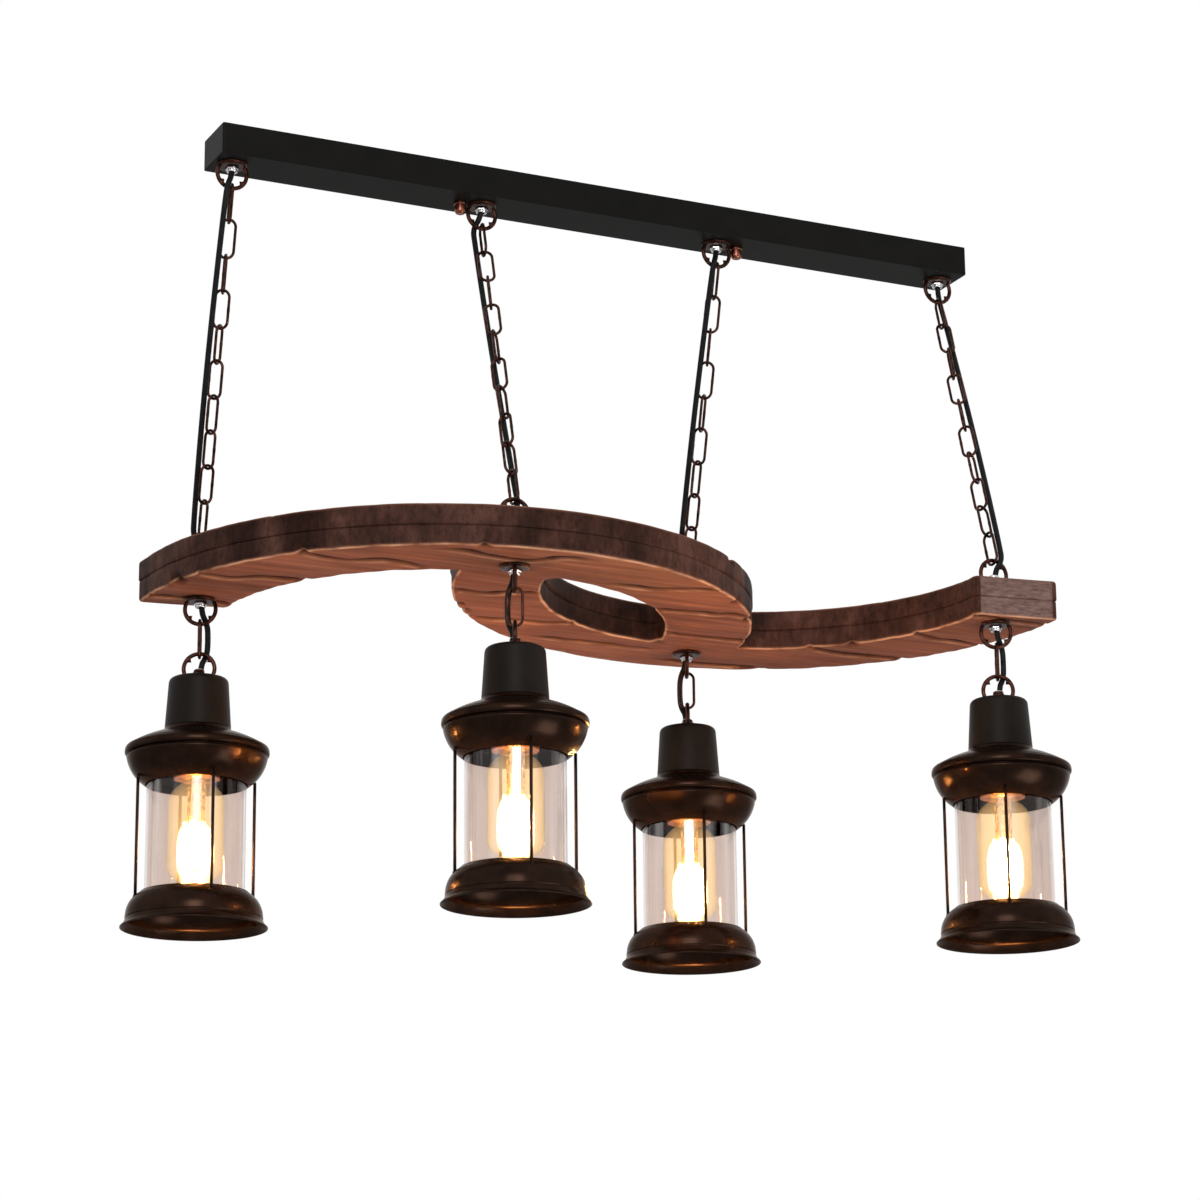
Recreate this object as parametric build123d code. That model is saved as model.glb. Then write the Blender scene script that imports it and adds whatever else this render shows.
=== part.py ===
from build123d import *
import os
from math import cos, hypot, pi, radians, sin, sqrt, tan

# A wooden chandelier: an S-shaped board on four chains under a long steel canopy, with four
# lanterns below it. Millimetres, +Z up, X along the canopy, origin on the ceiling plane above
# the middle of the board.

# Canopy
canopy_width = 54.0
canopy_height = 30.0
canopy_wall = 1.2
canopy_end_margin = 19.0
canopy_corner = 2.0

# Ceiling bracket inside the canopy, its studs and the cap nuts below
bracket_length = 350.0
bracket_width = 26.0
bracket_thick = 2.0
screw_spacing = 220.0
screw_hole = 5.2
mains_hole = 16.0
stud_diameter = 5.0
stud_flange = 9.0
stud_flange_thick = 1.2
stud_from_hook = 22.6
stud_reach = 8.0
nut_diameter = 11.0
nut_collar = 12.5
nut_collar_thick = 3.0
nut_height = 12.5
nut_round = 4.4

# Terminal block on the canopy floor
block_length = 34.0
block_width = 18.0
block_height = 13.0
block_screw = 4.0
block_pitch = 10.0

# Ring hooks, the same everywhere
ring_radius = 14.5
ring_wire = 4.0
ring_centre = 9.6
ring_cusp_angle = 50.0
ring_cusp = 3.4
flange_diameter = 29.0
flange_thick = 2.8
flange_round = 0.8

# Tubes, glands and cords
tube_diameter = 10.0
tube_bore = 6.5
cord_diameter = 5.5
gland_collar = 12.6
gland_collar_thick = 3.0
gland_dome = 10.4
gland_dome_height = 2.6
gland_dome_round = 1.5
gland_socket = 3.4
lock_nut = 17.0
lock_nut_thick = 3.0
stem_spare = 2.0
cord_exit = 2.4
cord_straight = 2.64
cord_bend_share = 0.45
cord_share = 0.46
cord_side_angle = 45.0
cord_sides = (180.0, 90.0, 180.0, 0.0)
cord_slack = 1.1
cord_bend_height = 23.0
fit = 0.15
running = 0.3

# Chain links
link_length = 39.2
link_width = 16.5
link_wire = 2.8
link_count = 10
chain_turns = 2.5
chain_lean = 16.0

# Board: two half rings, each half a turn, glued up from two planks
board_length = 843.6
arc_centre_y = 131.7
arc_outer = 306.6
band_width = 87.7
plank_thick = 20.0
slot_tip_round = 9.0
end_reach_inner = 4.0
end_reach_outer = 16.0
end_corner_round = 6.0
end_hook_inset = 19.7
end_hook_from_edge = 51.1
inner_hook_x = 144.65

# Lanterns, heights below the top of the cap
cap_top_diameter = 56.2
cap_bottom_diameter = 62.0
cap_height = 46.0
cap_round = 5.0
cap_round_bulge = 1.5
sheet = 1.2
collar_height = 6.0
collar_gap = 0.8
rim_diameter = 134.6
rim_height = 4.0
dome_height = 23.6
bead = 4.3
bowl_top_diameter = 131.6
bowl_height = 27.6
bowl_bulge = 2.1
mouth_gap = 2.3
socket_diameter = 40.0
socket_rim_diameter = 43.5
socket_rim_height = 4.5
socket_bottom = 97.0
socket_height = 43.0
socket_bore = 27.2
socket_depth = 28.0
glass_diameter = 93.0
glass_wall = 2.5
glass_length = 122.0
base_top = 204.0
base_top_diameter = 100.0
base_height = 33.5
base_bulge_diameter = 127.6
base_bulge = 24.4
base_crease = 1.4
base_bottom_diameter = 136.6
ledge_diameter = 86.6
ledge_drop = 7.0
stay_diameter = 2.7
stay_share = 0.26
stay_count = 4

# Bulbs
bulb_diameter = 52.6
bulb_length = 99.0
bulb_shoulder = 19.0
bulb_tip_height = 15.0
bulb_wall = 1.0
bulb_base_diameter = 26.4
bulb_base_length = 27.5
stem_diameter = 4.4
filament_count = 6
filament_diameter = 1.0
filament_circle = 17.0
filament_top = 20.0
filament_length = 66.0
filament_star_thick = 0.8

# How far each lantern's ring and stays are turned about its axis, in degrees
ring_turn = (-25.0, 65.0, 65.0, -25.0)
stay_turn = (86.6, 80.0, 78.1, 61.0)

# Places worked out from the sizes above
wire_gap = link_wire + running
hook_gap = (ring_wire + link_wire) / 2 + running
link_reach = link_length - link_wire
link_step = link_reach - wire_gap
chain_span = link_count * link_reach - (link_count - 1) * wire_gap - 2 * hook_gap
ring_reach = ring_centre + ring_radius
arc_centre_x = board_length / 2 - arc_outer
arc_inner = arc_outer - band_width
hook_y = arc_centre_y - end_hook_inset
end_hook_x = arc_centre_x + sqrt((arc_outer - end_hook_from_edge) ** 2 - end_hook_inset**2)
hooks = (
    (-end_hook_x, hook_y),
    (-inner_hook_x, -hook_y),
    (inner_hook_x, hook_y),
    (end_hook_x, -hook_y),
)
canopy_hooks = (
    -end_hook_x - chain_lean,
    -inner_hook_x + chain_lean,
    inner_hook_x - chain_lean,
    end_hook_x + chain_lean,
)
canopy_length = 2 * (end_hook_x + chain_lean + canopy_end_margin)
stud_x = inner_hook_x - chain_lean + stud_from_hook
chain_drop = sqrt(chain_span**2 - hook_y**2 - chain_lean**2)
board_top = -canopy_height - 2 * ring_reach - chain_drop
board_seam = board_top - plank_thick
board_under = board_seam - plank_thick
cap_top = board_under - 2 * ring_reach + 2 * hook_gap - link_reach
glass_bottom = base_top + ledge_drop
gland_height = gland_collar_thick + gland_dome_height
cord_offset = cord_share * (link_width - link_wire + cord_diameter) + running
exit_run = gland_height + flange_thick + cord_straight
link_twist = chain_turns * 360.0 / (link_count + 1)
cord_twist = link_twist - 90.0


def save(node, *pieces):
    """Write one node: a single solid, or a group of separate solids."""
    solids = [solid for piece in pieces for solid in piece.solids()]
    body = solids[0] if len(solids) == 1 else Compound(children=solids)
    export_step(body, f"parts/{node}.step")


def disc(diameter, top, bottom, bore=0.0):
    """A round plate between two heights, with an optional bore."""
    middle = Pos(0, 0, (top + bottom) / 2)
    plate = middle * Cylinder(diameter / 2, top - bottom)
    if bore:
        plate -= middle * Cylinder(bore / 2, 2 * (top - bottom))
    return plate


def turned(edges):
    """Spin a closed outline of radius and height about the vertical axis."""
    return revolve(Plane.XZ * make_face(edges), Axis.Z)


def outline(stations):
    """Lines and arcs through (radius, height, bulge), the bulge being that of the stretch after it."""
    edges = []
    for (r, z, bulge), (r_next, z_next, _) in zip(stations, stations[1:]):
        if bulge:
            edges.append(SagittaArc((r, z), (r_next, z_next), bulge))
        else:
            edges.append(Line((r, z), (r_next, z_next)))
    return edges


def inset(stations, wall):
    """The same outline moved a wall's thickness to its inner side."""
    moved = []
    for index, (r, z, bulge) in enumerate(stations):
        before = stations[max(index - 1, 0)]
        after = stations[min(index + 1, len(stations) - 1)]
        into = Vector(r - before[0], z - before[1]) if index else Vector(after[0] - r, after[1] - z)
        out = Vector(after[0] - r, after[1] - z) if after[:2] != (r, z) else into
        first = into.normalized()
        second = out.normalized()
        middle = Vector(first.Y + second.Y, -first.X - second.X).normalized()
        reach = wall / (middle.X * first.Y - middle.Y * first.X)
        moved.append((r + middle.X * reach, z + middle.Y * reach, bulge))
    return moved


def spun_shell(stations, wall):
    """A spun sheet: the outline, its inset and the two edges between them."""
    inner = inset(stations, wall)
    edges = outline(stations) + outline(inner)
    edges.append(Line(stations[0][:2], inner[0][:2]))
    edges.append(Line(stations[-1][:2], inner[-1][:2]))
    return turned(edges)


def ring_hook():
    """A hanging ring hook: the mounting face is at height 0, the ring lies along X."""
    ring = Pos(0, 0, -ring_centre) * Rot(90, 0, 0) * Torus(ring_radius, ring_wire / 2)
    side = 4 * ring_radius
    ring &= Pos(0, 0, -side / 2) * Box(side, side, side)
    flange = disc(flange_diameter, 0, -flange_thick)
    flange = fillet(flange.edges().sort_by(Axis.Z)[0], flange_round)
    hook = ring + flange
    cusp_radius = ring_radius - ring_wire / 2
    for turn in (-ring_cusp_angle, ring_cusp_angle):
        x = cusp_radius * sin(radians(turn))
        z = -ring_centre - cusp_radius * cos(radians(turn))
        hook += Pos(x, 0, z) * Sphere(ring_cusp / 2)
    return hook - Cylinder((tube_diameter / 2 + fit), 4 * flange_thick)


def link():
    """One chain link along Z, its width along X."""
    bend = (link_width - link_wire) / 2
    slot = Plane.XZ * SlotOverall(link_length - link_wire, link_width - link_wire, rotation=90)
    section = Plane(origin=(bend, 0, 0), z_dir=(0, 0, 1)) * Circle(link_wire / 2)
    return sweep(section, path=slot.face().outer_wire())


def gland(stem):
    """A hanging cord gland under a flange at height 0; its stem goes up, or a tube comes in."""
    collar = extrude(RegularPolygon(gland_collar / 2, 6), -gland_collar_thick)
    dome = disc(gland_dome, -gland_collar_thick, -gland_height)
    dome = fillet(dome.edges().sort_by(Axis.Z)[0], gland_dome_round)
    nut = collar + dome
    if stem:
        nut += disc(tube_diameter, stem, -gland_collar_thick / 2)
    else:
        nut -= disc(tube_diameter + 2 * fit, gland_height, -gland_socket)
    return nut - Cylinder(cord_diameter / 2 + fit, 4 * (gland_height + stem))


def tube_along(points, diameter):
    """A round tube along straight runs joined by tangent arcs, as large as the runs allow."""
    points = [Vector(*point) for point in points]
    radii = []
    for before, here, after in zip(points, points[1:], points[2:]):
        run = min((here - before).length, (after - here).length)
        turn = (here - before).get_angle(after - here)
        reach = cord_bend_share * run
        if here in (points[1], points[-2]):
            reach = min(reach, cord_exit)
        radii.append(reach / tan(radians(turn) / 2))
    path = FilletPolyline(*points, radius=radii)
    section = Plane(origin=points[0], z_dir=points[1] - points[0]) * Circle(diameter / 2)
    cord = sweep(section, path=path)
    plain = pi * diameter**2 / 4 * path.length
    print(f"cord {path.length:.1f} mm, least radius {min(radii):.1f}, volume share {cord.volume / plain:.4f}")
    return cord


# Canopy and what it holds
def canopy_cover():
    shell = Pos(0, 0, -canopy_height / 2) * Box(canopy_length, canopy_width, canopy_height)
    shell = fillet(shell.edges().filter_by(Axis.Z), canopy_corner)
    room = Pos(0, 0, -canopy_height / 2 + canopy_wall) * Box(
        canopy_length - 2 * canopy_wall, canopy_width - 2 * canopy_wall, canopy_height
    )
    shell -= fillet(room.edges().filter_by(Axis.Z), canopy_corner - canopy_wall / 2)
    for x in canopy_hooks:
        shell -= Pos(x, 0, -canopy_height) * Cylinder(tube_diameter / 2 + fit, 4 * canopy_wall)
    for x in (-stud_x, stud_x):
        shell -= Pos(x, 0, -canopy_height) * Cylinder(stud_diameter / 2 + running, 4 * canopy_wall)
    return shell


def ceiling_bracket():
    bar = Pos(0, 0, -bracket_thick / 2) * Box(bracket_length, bracket_width, bracket_thick)
    bar = fillet(bar.edges().filter_by(Axis.Z), bracket_width / 4)
    bar -= Cylinder(mains_hole / 2, 4 * bracket_thick)
    for x in (-screw_spacing / 2, screw_spacing / 2):
        bar -= Pos(x, 0, 0) * Cylinder(screw_hole / 2, 4 * bracket_thick)
    for x in (-stud_x, stud_x):
        bar -= Pos(x, 0, 0) * Cylinder(stud_diameter / 2 + fit, 4 * bracket_thick)
    return bar


def bracket_stud():
    stud = disc(stud_diameter, 0, -canopy_height - stud_reach)
    return stud + disc(stud_flange, -bracket_thick, -bracket_thick - stud_flange_thick)


def cap_nut():
    """A hanging cap nut with a round collar and a blind bore for its stud."""
    nut = disc(nut_collar, 0, -nut_collar_thick)
    body = disc(nut_diameter, -nut_collar_thick, -nut_height)
    nut += fillet(body.edges().sort_by(Axis.Z)[0], nut_round)
    bore = stud_reach + running
    return nut - disc(stud_diameter + 2 * fit, bore, -bore)


def terminal_block():
    top = -canopy_height + canopy_wall + block_height
    block = Pos(0, 0, top - block_height / 2) * Box(block_length, block_width, block_height)
    for place in (-block_pitch, 0, block_pitch):
        block -= Pos(place, 0, top) * Cylinder(block_screw / 2, block_height)
    return block


# Chains and cords
def chain_frame(index):
    """Start, direction and the two side directions of one chain."""
    start = Vector(canopy_hooks[index], 0, -canopy_height - ring_reach)
    end = Vector(*hooks[index], board_top + ring_reach)
    along = (end - start).normalized()
    side = (Vector(1, 0, 0) - along * along.X).normalized()
    return start, along, side, side.cross(along)


def chain(index):
    start, along, side, across = chain_frame(index)
    pattern = link()
    links = []
    for number in range(link_count):
        turn = radians((number + 1) * link_twist)
        middle = start + along * (number * link_step + link_reach / 2 - hook_gap)
        width = side * cos(turn) + across * sin(turn)
        links.append(Plane(origin=middle, x_dir=width, z_dir=along) * pattern)
    return links


def power_cord(index):
    """From the canopy's gland, spiralling a quarter turn round the chain, into the board's tube."""
    start, along, side, across = chain_frame(index)
    x, y = hooks[index]
    begin = cord_side_angle + cord_sides[index]
    first = radians(begin)
    last = radians(begin + cord_twist * (link_count + 1))
    top = Vector(canopy_hooks[index], 0, -canopy_height)
    foot = Vector(x, y, board_top)
    first_side = Vector(cos(first), sin(first), 0) * cord_offset
    last_side = Vector(cos(last), sin(last), 0) * cord_offset
    points = [top + Vector(0, 0, lock_nut_thick + 2 * stem_spare), top - Vector(0, 0, exit_run)]
    points.append(top + first_side - Vector(0, 0, cord_bend_height))
    for number in range(link_count):
        turn = radians(begin + cord_twist * (number + 1))
        middle = start + along * (number * link_step + link_reach / 2 - hook_gap)
        points.append(middle + (side * cos(turn) + across * sin(turn)) * cord_offset)
    points.append(foot + last_side + Vector(0, 0, cord_bend_height))
    points += [foot + Vector(0, 0, exit_run), foot - Vector(0, 0, plank_thick)]
    return tube_along(points, cord_diameter)


def lantern_cord(index):
    """From the board's tube, round the one link, into the lantern's nipple."""
    x, y = hooks[index]
    turn = radians(ring_turn[index] + cord_side_angle)
    beside = Vector(cos(turn), sin(turn), 0) * cord_offset
    under = Vector(x, y, board_under)
    top = Vector(x, y, cap_top)
    points = [under + Vector(0, 0, plank_thick), under - Vector(0, 0, exit_run)]
    points.append(under + beside - Vector(0, 0, cord_bend_height))
    points.append((under + top) / 2 + beside * cord_slack)
    points.append(top + beside + Vector(0, 0, cord_bend_height))
    points += [top + Vector(0, 0, exit_run), top - Vector(0, 0, cap_height)]
    return tube_along(points, cord_diameter)


# Board
def half_ring():
    """Half a ring bulging to -Y; its -X end runs on past the half turn and is cut askew."""
    far = 2 * arc_outer
    near = arc_inner / 2
    skew = (end_reach_outer - end_reach_inner) / band_width
    cut = [(-x, end_reach_inner + skew * (x - arc_inner)) for x in (near, far)]
    corners = [(-far, -far), (far, -far), (far, 0), (0, 0), *cut]
    return (Circle(arc_outer) - Circle(arc_inner)) & Polygon(*corners, align=None)


def board_outline():
    """Two half rings, one bulging to -Y and one to +Y, which overlap round a lens-shaped slot."""
    lower = Pos(-arc_centre_x, arc_centre_y) * half_ring()
    shape = lower + Rot(0, 0, 180) * lower
    apart = hypot(arc_centre_x, arc_centre_y)
    tip = sqrt(arc_inner**2 - apart**2) / apart
    slot_half_width = arc_inner - apart
    tip_round = min(slot_tip_round, slot_half_width / 2)
    corners = []
    for side in (-1, 1):
        spot = (side * tip * arc_centre_y, side * tip * arc_centre_x)
        corners.append((spot, tip_round))
        for radius, past in ((arc_inner, end_reach_inner), (arc_outer, end_reach_outer)):
            spot = (side * (arc_centre_x + radius), -side * (arc_centre_y + past))
            corners.append((spot, end_corner_round))
    for spot, radius in corners:
        shape = fillet(shape.vertices().sort_by_distance(spot)[0], radius)
    return shape


def plank(top):
    board = Pos(0, 0, top) * extrude(board_outline(), -plank_thick)
    for x, y in hooks:
        board -= Pos(x, y, top) * Cylinder(tube_diameter / 2 + running, 4 * plank_thick)
    return board


def board_tube():
    reach = flange_thick + gland_socket - fit
    return disc(tube_diameter, board_top + reach, board_under - reach, tube_bore)


# Lantern pieces, with the top of the cap at height 0
cap_bottom_inner = cap_bottom_diameter / 2 - sheet
rim_top = -cap_height - dome_height
rim_bottom = rim_top - rim_height
bowl_top = rim_bottom - sheet
bowl_bottom = bowl_top - bowl_height
bowl_bottom_radius = glass_diameter / 2 + mouth_gap
dome_bulge = 1.0
bead_bulge = 0.8
skirt_bulge = 3.6
flare_bulge = -0.7
shoulder_bulge = 2.2
tip_bulge = 4.6
bulb_seat = -socket_bottom - running
bulb_tip = bulb_seat - bulb_length


def cap():
    half = cap_top_diameter / 2
    stations = [
        (tube_diameter / 2 + fit, 0, 0),
        (half - cap_round, 0, cap_round_bulge),
        (half, -cap_round, 0),
        (cap_bottom_diameter / 2, -cap_height, 0),
    ]
    return spun_shell(stations, sheet) & disc(2 * cap_bottom_diameter, 0, -cap_height)


def shade():
    """Dome and bowl: a collar inside the cap, a shoulder under its edge, a rolled rim and the bowl."""
    collar = cap_bottom_inner - collar_gap
    stations = [
        (collar, -cap_height + collar_height, 0),
        (collar, -cap_height, 0),
        (cap_bottom_diameter / 2 + sheet / 2, -cap_height, dome_bulge),
        (rim_diameter / 2 - bead, rim_top + bead, bead_bulge),
        (rim_diameter / 2, rim_top, 0),
        (rim_diameter / 2, rim_bottom, 0),
        (bowl_top_diameter / 2, bowl_top, bowl_bulge),
        (bowl_bottom_radius, bowl_bottom, 0),
    ]
    return spun_shell(stations, sheet)


def socket():
    """Lampholder with the nipple that carries the lantern, a nut under the cap and a bright rim."""
    top = -socket_bottom + socket_height
    body = disc(socket_diameter, top, -socket_bottom)
    body += disc(socket_rim_diameter, -socket_bottom + socket_rim_height, -socket_bottom)
    body += disc(tube_diameter, flange_thick + gland_socket - fit, top)
    body += disc(lock_nut, -sheet, -sheet - lock_nut_thick)
    body -= disc(socket_bore, -socket_bottom + socket_depth, -2 * socket_bottom)
    return body - Cylinder(tube_bore / 2, 4 * socket_bottom)


def glass():
    return disc(glass_diameter, glass_length - glass_bottom, -glass_bottom, glass_diameter - 2 * glass_wall)


base_stations = [
    (base_top_diameter / 2, -base_top, skirt_bulge),
    (base_bulge_diameter / 2, -base_top - base_bulge, 0),
    (base_bulge_diameter / 2 - base_crease / 2, -base_top - base_bulge - base_crease, flare_bulge),
    (base_bottom_diameter / 2, -base_top - base_height, 0),
]


def base_block():
    """The base's outside, filled to the axis."""
    edges = outline(base_stations)
    edges.append(Line(base_stations[-1][:2], (0, base_stations[-1][1])))
    edges.append(Line((0, base_stations[-1][1]), (0, base_stations[0][1])))
    edges.append(Line((0, base_stations[0][1]), base_stations[0][:2]))
    return turned(edges)


def base():
    ledge = disc(base_bottom_diameter, -glass_bottom, -glass_bottom - sheet, ledge_diameter)
    return spun_shell(base_stations, sheet) + (ledge & base_block())


def stay():
    """A straight wire from the base's shoulder up to the side of the bowl."""
    bottom = Vector(bowl_bottom_radius, 0, bowl_bottom)
    chord = Vector(bowl_top_diameter / 2, 0, bowl_top) - bottom
    outward = Vector(chord.Z, 0, -chord.X).normalized()
    meet = bottom + chord * stay_share + outward * (4 * bowl_bulge * stay_share * (1 - stay_share))
    wire = Pos(meet.X + stay_diameter / 2 + fit, 0, 0) * disc(stay_diameter, meet.Z, -glass_bottom)
    return wire - Pos(0, 0, running) * base_block()


def bulb_glass():
    neck = bulb_base_diameter / 2
    stations = [
        (neck, bulb_seat, shoulder_bulge),
        (bulb_diameter / 2, bulb_seat - bulb_shoulder, 0),
        (bulb_diameter / 2, bulb_tip + bulb_tip_height, tip_bulge),
        (bulb_diameter / 8, bulb_tip, 0),
    ]
    inner = inset(stations, bulb_wall)
    last = inner[-1]
    edges = outline(stations) + outline(inner)
    edges.append(Line(stations[0][:2], inner[0][:2]))
    edges.append(Line(stations[-1][:2], (0, stations[-1][1])))
    edges.append(Line((0, stations[-1][1]), (0, last[1])))
    edges.append(Line((0, last[1]), last[:2]))
    return turned(edges)


def bulb_base():
    """Screw shell, glass stem and the filament strands between two stars."""
    top = bulb_seat - filament_top
    bottom = top - filament_length
    body = disc(bulb_base_diameter, bulb_seat + bulb_base_length, bulb_seat)
    body += disc(stem_diameter, bulb_seat, bottom)
    for height in (top, bottom):
        body += disc(filament_circle + 3 * filament_diameter, height, height - filament_star_thick)
    strand = Pos(filament_circle / 2, 0, 0) * disc(filament_diameter, top, bottom)
    for turn in range(filament_count):
        body += Rot(0, 0, turn * 360.0 / filament_count) * strand
    return body


os.makedirs("parts", exist_ok=True)

save("canopy_cover", canopy_cover())
save("ceiling_bracket", ceiling_bracket())
save("bracket_studs", *[Pos(x, 0, 0) * bracket_stud() for x in (-stud_x, stud_x)])
save("terminal_block", terminal_block())
for side, x in (("left", -stud_x), ("right", stud_x)):
    save(f"fixing_nut_{side}", Pos(x, 0, -canopy_height) * cap_nut())

hanging = ring_hook()
standing = Rot(180, 0, 0) * hanging
stem = flange_thick + canopy_wall + lock_nut_thick + stem_spare
nut_inside = -canopy_height + canopy_wall
locking = extrude(RegularPolygon(lock_nut / 2, 6), lock_nut_thick)
locking -= Cylinder(tube_diameter / 2 + fit, lock_nut)
save("canopy_loops", *[Pos(x, 0, -canopy_height) * hanging for x in canopy_hooks])
save(
    "canopy_glands",
    *[Pos(x, 0, -canopy_height - flange_thick) * gland(stem) for x in canopy_hooks],
    *[Pos(x, 0, nut_inside) * locking for x in canopy_hooks],
)

for index in range(len(hooks)):
    save(f"chain_{index + 1}", *chain(index))
save("power_cords", *[power_cord(index) for index in range(len(hooks))])
save("lantern_cords", *[lantern_cord(index) for index in range(len(hooks))])

save("board_upper_plank", plank(board_top))
save("board_lower_plank", plank(board_seam))
save("board_tubes", *[Pos(x, y, 0) * board_tube() for x, y in hooks])
board_loops = [Pos(x, y, board_top) * standing for x, y in hooks]
for (x, y), turn in zip(hooks, ring_turn):
    board_loops.append(Pos(x, y, board_under) * Rot(0, 0, turn) * hanging)
save("board_loops", *board_loops)
nut = gland(0)
board_glands = [Pos(x, y, board_top + flange_thick) * Rot(180, 0, 0) * nut for x, y in hooks]
board_glands += [Pos(x, y, board_under - flange_thick) * nut for x, y in hooks]
save("board_glands", *board_glands)

lantern_pieces = {
    "cap": cap(),
    "shade": shade(),
    "socket": socket(),
    "glass": glass(),
    "base": base(),
    "bulb_glass": bulb_glass(),
    "bulb_base": bulb_base(),
}
one_stay = stay()
one_link = link()
for index, (x, y) in enumerate(hooks):
    name = f"lantern_{index + 1}"
    place = Pos(x, y, cap_top)
    turn = ring_turn[index]
    link_middle = board_under - ring_reach + hook_gap - link_reach / 2
    save(f"{name}_link", Pos(x, y, link_middle) * Rot(0, 0, turn + 90) * one_link)
    standing_nut = place * Pos(0, 0, flange_thick) * Rot(180, 0, 0) * nut
    save(f"{name}_loop", place * Rot(0, 0, turn) * standing, standing_nut)
    turns = [stay_turn[index] + 360.0 / stay_count * count for count in range(stay_count)]
    stays = [Rot(0, 0, stay_angle) * one_stay for stay_angle in turns]
    save(f"{name}_stays", *[place * wire for wire in stays])
    for piece, solid in lantern_pieces.items():
        save(f"{name}_{piece}", place * solid)

print(f"canopy {canopy_length:.1f}, chain span {chain_span:.1f}")
print(f"board top {board_top:.1f}, under {board_under:.1f}")
print(f"cap top {cap_top:.1f}, lowest {cap_top - base_top - base_height:.1f}, hooks {hooks}, {canopy_hooks}")
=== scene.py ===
# %% [markdown]
# # A wooden chandelier with four lanterns
# A long black canopy sits on the ceiling. Four chains hang from it and carry an S-shaped wooden
# board, and a lantern hangs on one link under each chain. The CAD model gives every place and size,
# and this script dresses it: each cell adds one kind of piece or one finish.

# %% Load the frame
import bpy
import numpy as np
from mathutils import Matrix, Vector
from mathutils.geometry import delaunay_2d_cdt


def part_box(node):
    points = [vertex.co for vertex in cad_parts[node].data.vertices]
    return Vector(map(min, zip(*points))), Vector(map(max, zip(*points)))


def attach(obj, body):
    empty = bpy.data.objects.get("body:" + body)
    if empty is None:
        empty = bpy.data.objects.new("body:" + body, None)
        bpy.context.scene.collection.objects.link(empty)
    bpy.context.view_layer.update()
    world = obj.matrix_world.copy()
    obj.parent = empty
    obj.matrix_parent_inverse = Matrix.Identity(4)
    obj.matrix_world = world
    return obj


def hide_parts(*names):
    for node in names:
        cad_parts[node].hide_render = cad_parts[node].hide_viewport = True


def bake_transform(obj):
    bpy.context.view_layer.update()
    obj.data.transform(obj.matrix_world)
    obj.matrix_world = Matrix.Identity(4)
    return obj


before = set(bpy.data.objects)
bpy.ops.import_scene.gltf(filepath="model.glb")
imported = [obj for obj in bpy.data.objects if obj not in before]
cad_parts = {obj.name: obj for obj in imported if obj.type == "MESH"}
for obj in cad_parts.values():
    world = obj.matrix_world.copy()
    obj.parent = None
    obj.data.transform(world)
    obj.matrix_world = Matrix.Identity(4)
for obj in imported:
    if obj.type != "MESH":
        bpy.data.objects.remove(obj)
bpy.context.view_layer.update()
MM = 0.001

# %% [markdown]
# ## The camera
# The photograph looks up at the chandelier from the front left. A camera is a place, a direction and
# a focal length. Three unit vectors (right, up and back) are the columns of its matrix, which is
# surer than Euler angles when the picture is also tilted by half a degree.

# %% Camera
def unit(vector):
    """A vector divided by its own length."""
    vector = np.asarray(vector, float)
    return vector / np.linalg.norm(vector)


camera_place = (-1.4409, -2.9971, -1.3257)
camera_forward = unit((0.41679, 0.86978, 0.26414))
camera_roll = np.radians(-0.57)
level = unit(np.cross(camera_forward, (0, 0, 1)))
upright = np.cross(level, camera_forward)
camera_right = np.cos(camera_roll) * level + np.sin(camera_roll) * upright
camera_up = np.cos(camera_roll) * upright - np.sin(camera_roll) * level

camera = bpy.data.objects.new("camera", bpy.data.cameras.new("camera"))
bpy.context.scene.collection.objects.link(camera)
camera.data.sensor_width = 36.0
camera.data.lens = 107.48
turned = np.column_stack((camera_right, camera_up, -camera_forward))
camera.matrix_world = Matrix.Translation(camera_place) @ Matrix(turned.tolist()).to_4x4()
bpy.context.scene.camera = camera
bpy.context.scene.view_settings.view_transform = "Standard"
print("camera at", camera_place)

# %% [markdown]
# ## Grids that become meshes
# Almost every piece here is a grid of points: rows along a profile and columns round an axis or
# along a path. The quads between neighbours follow from the grid's shape alone, so one function
# makes the faces of all of them, and numpy makes the points as whole arrays.

# %% Grid helpers
def grid(points, wrap_rows=False, wrap_columns=True, cap_first=False, cap_last=False):
    """Points on a rows x columns grid and the quads between neighbours.
    Quad (i, j) joins (i, j), (i, j+1), (i+1, j+1), (i+1, j); a wrapped side joins last to first."""
    rows, columns = points.shape[:2]
    row = np.arange(rows if wrap_rows else rows - 1)[:, None]
    column = np.arange(columns if wrap_columns else columns - 1)[None]
    after, beside = (row + 1) % rows, (column + 1) % columns
    here, ahead = row * columns, after * columns
    corners = [here + column, here + beside, ahead + beside, ahead + column]
    faces = np.stack(corners, -1).reshape(-1, 4).tolist()
    if cap_first:
        faces.append(np.arange(columns)[::-1].tolist())
    if cap_last:
        faces.append(((rows - 1) * columns + np.arange(columns)).tolist())
    return points.reshape(-1, 3), faces


def joined(*shapes):
    """Several (points, faces) shapes as one."""
    offsets = np.cumsum([0] + [len(points) for points, _ in shapes[:-1]])
    faces = []
    for offset, (_, part) in zip(offsets.tolist(), shapes):
        faces += [[offset + i for i in face] for face in part]
    return np.concatenate([points for points, _ in shapes]), faces


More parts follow.
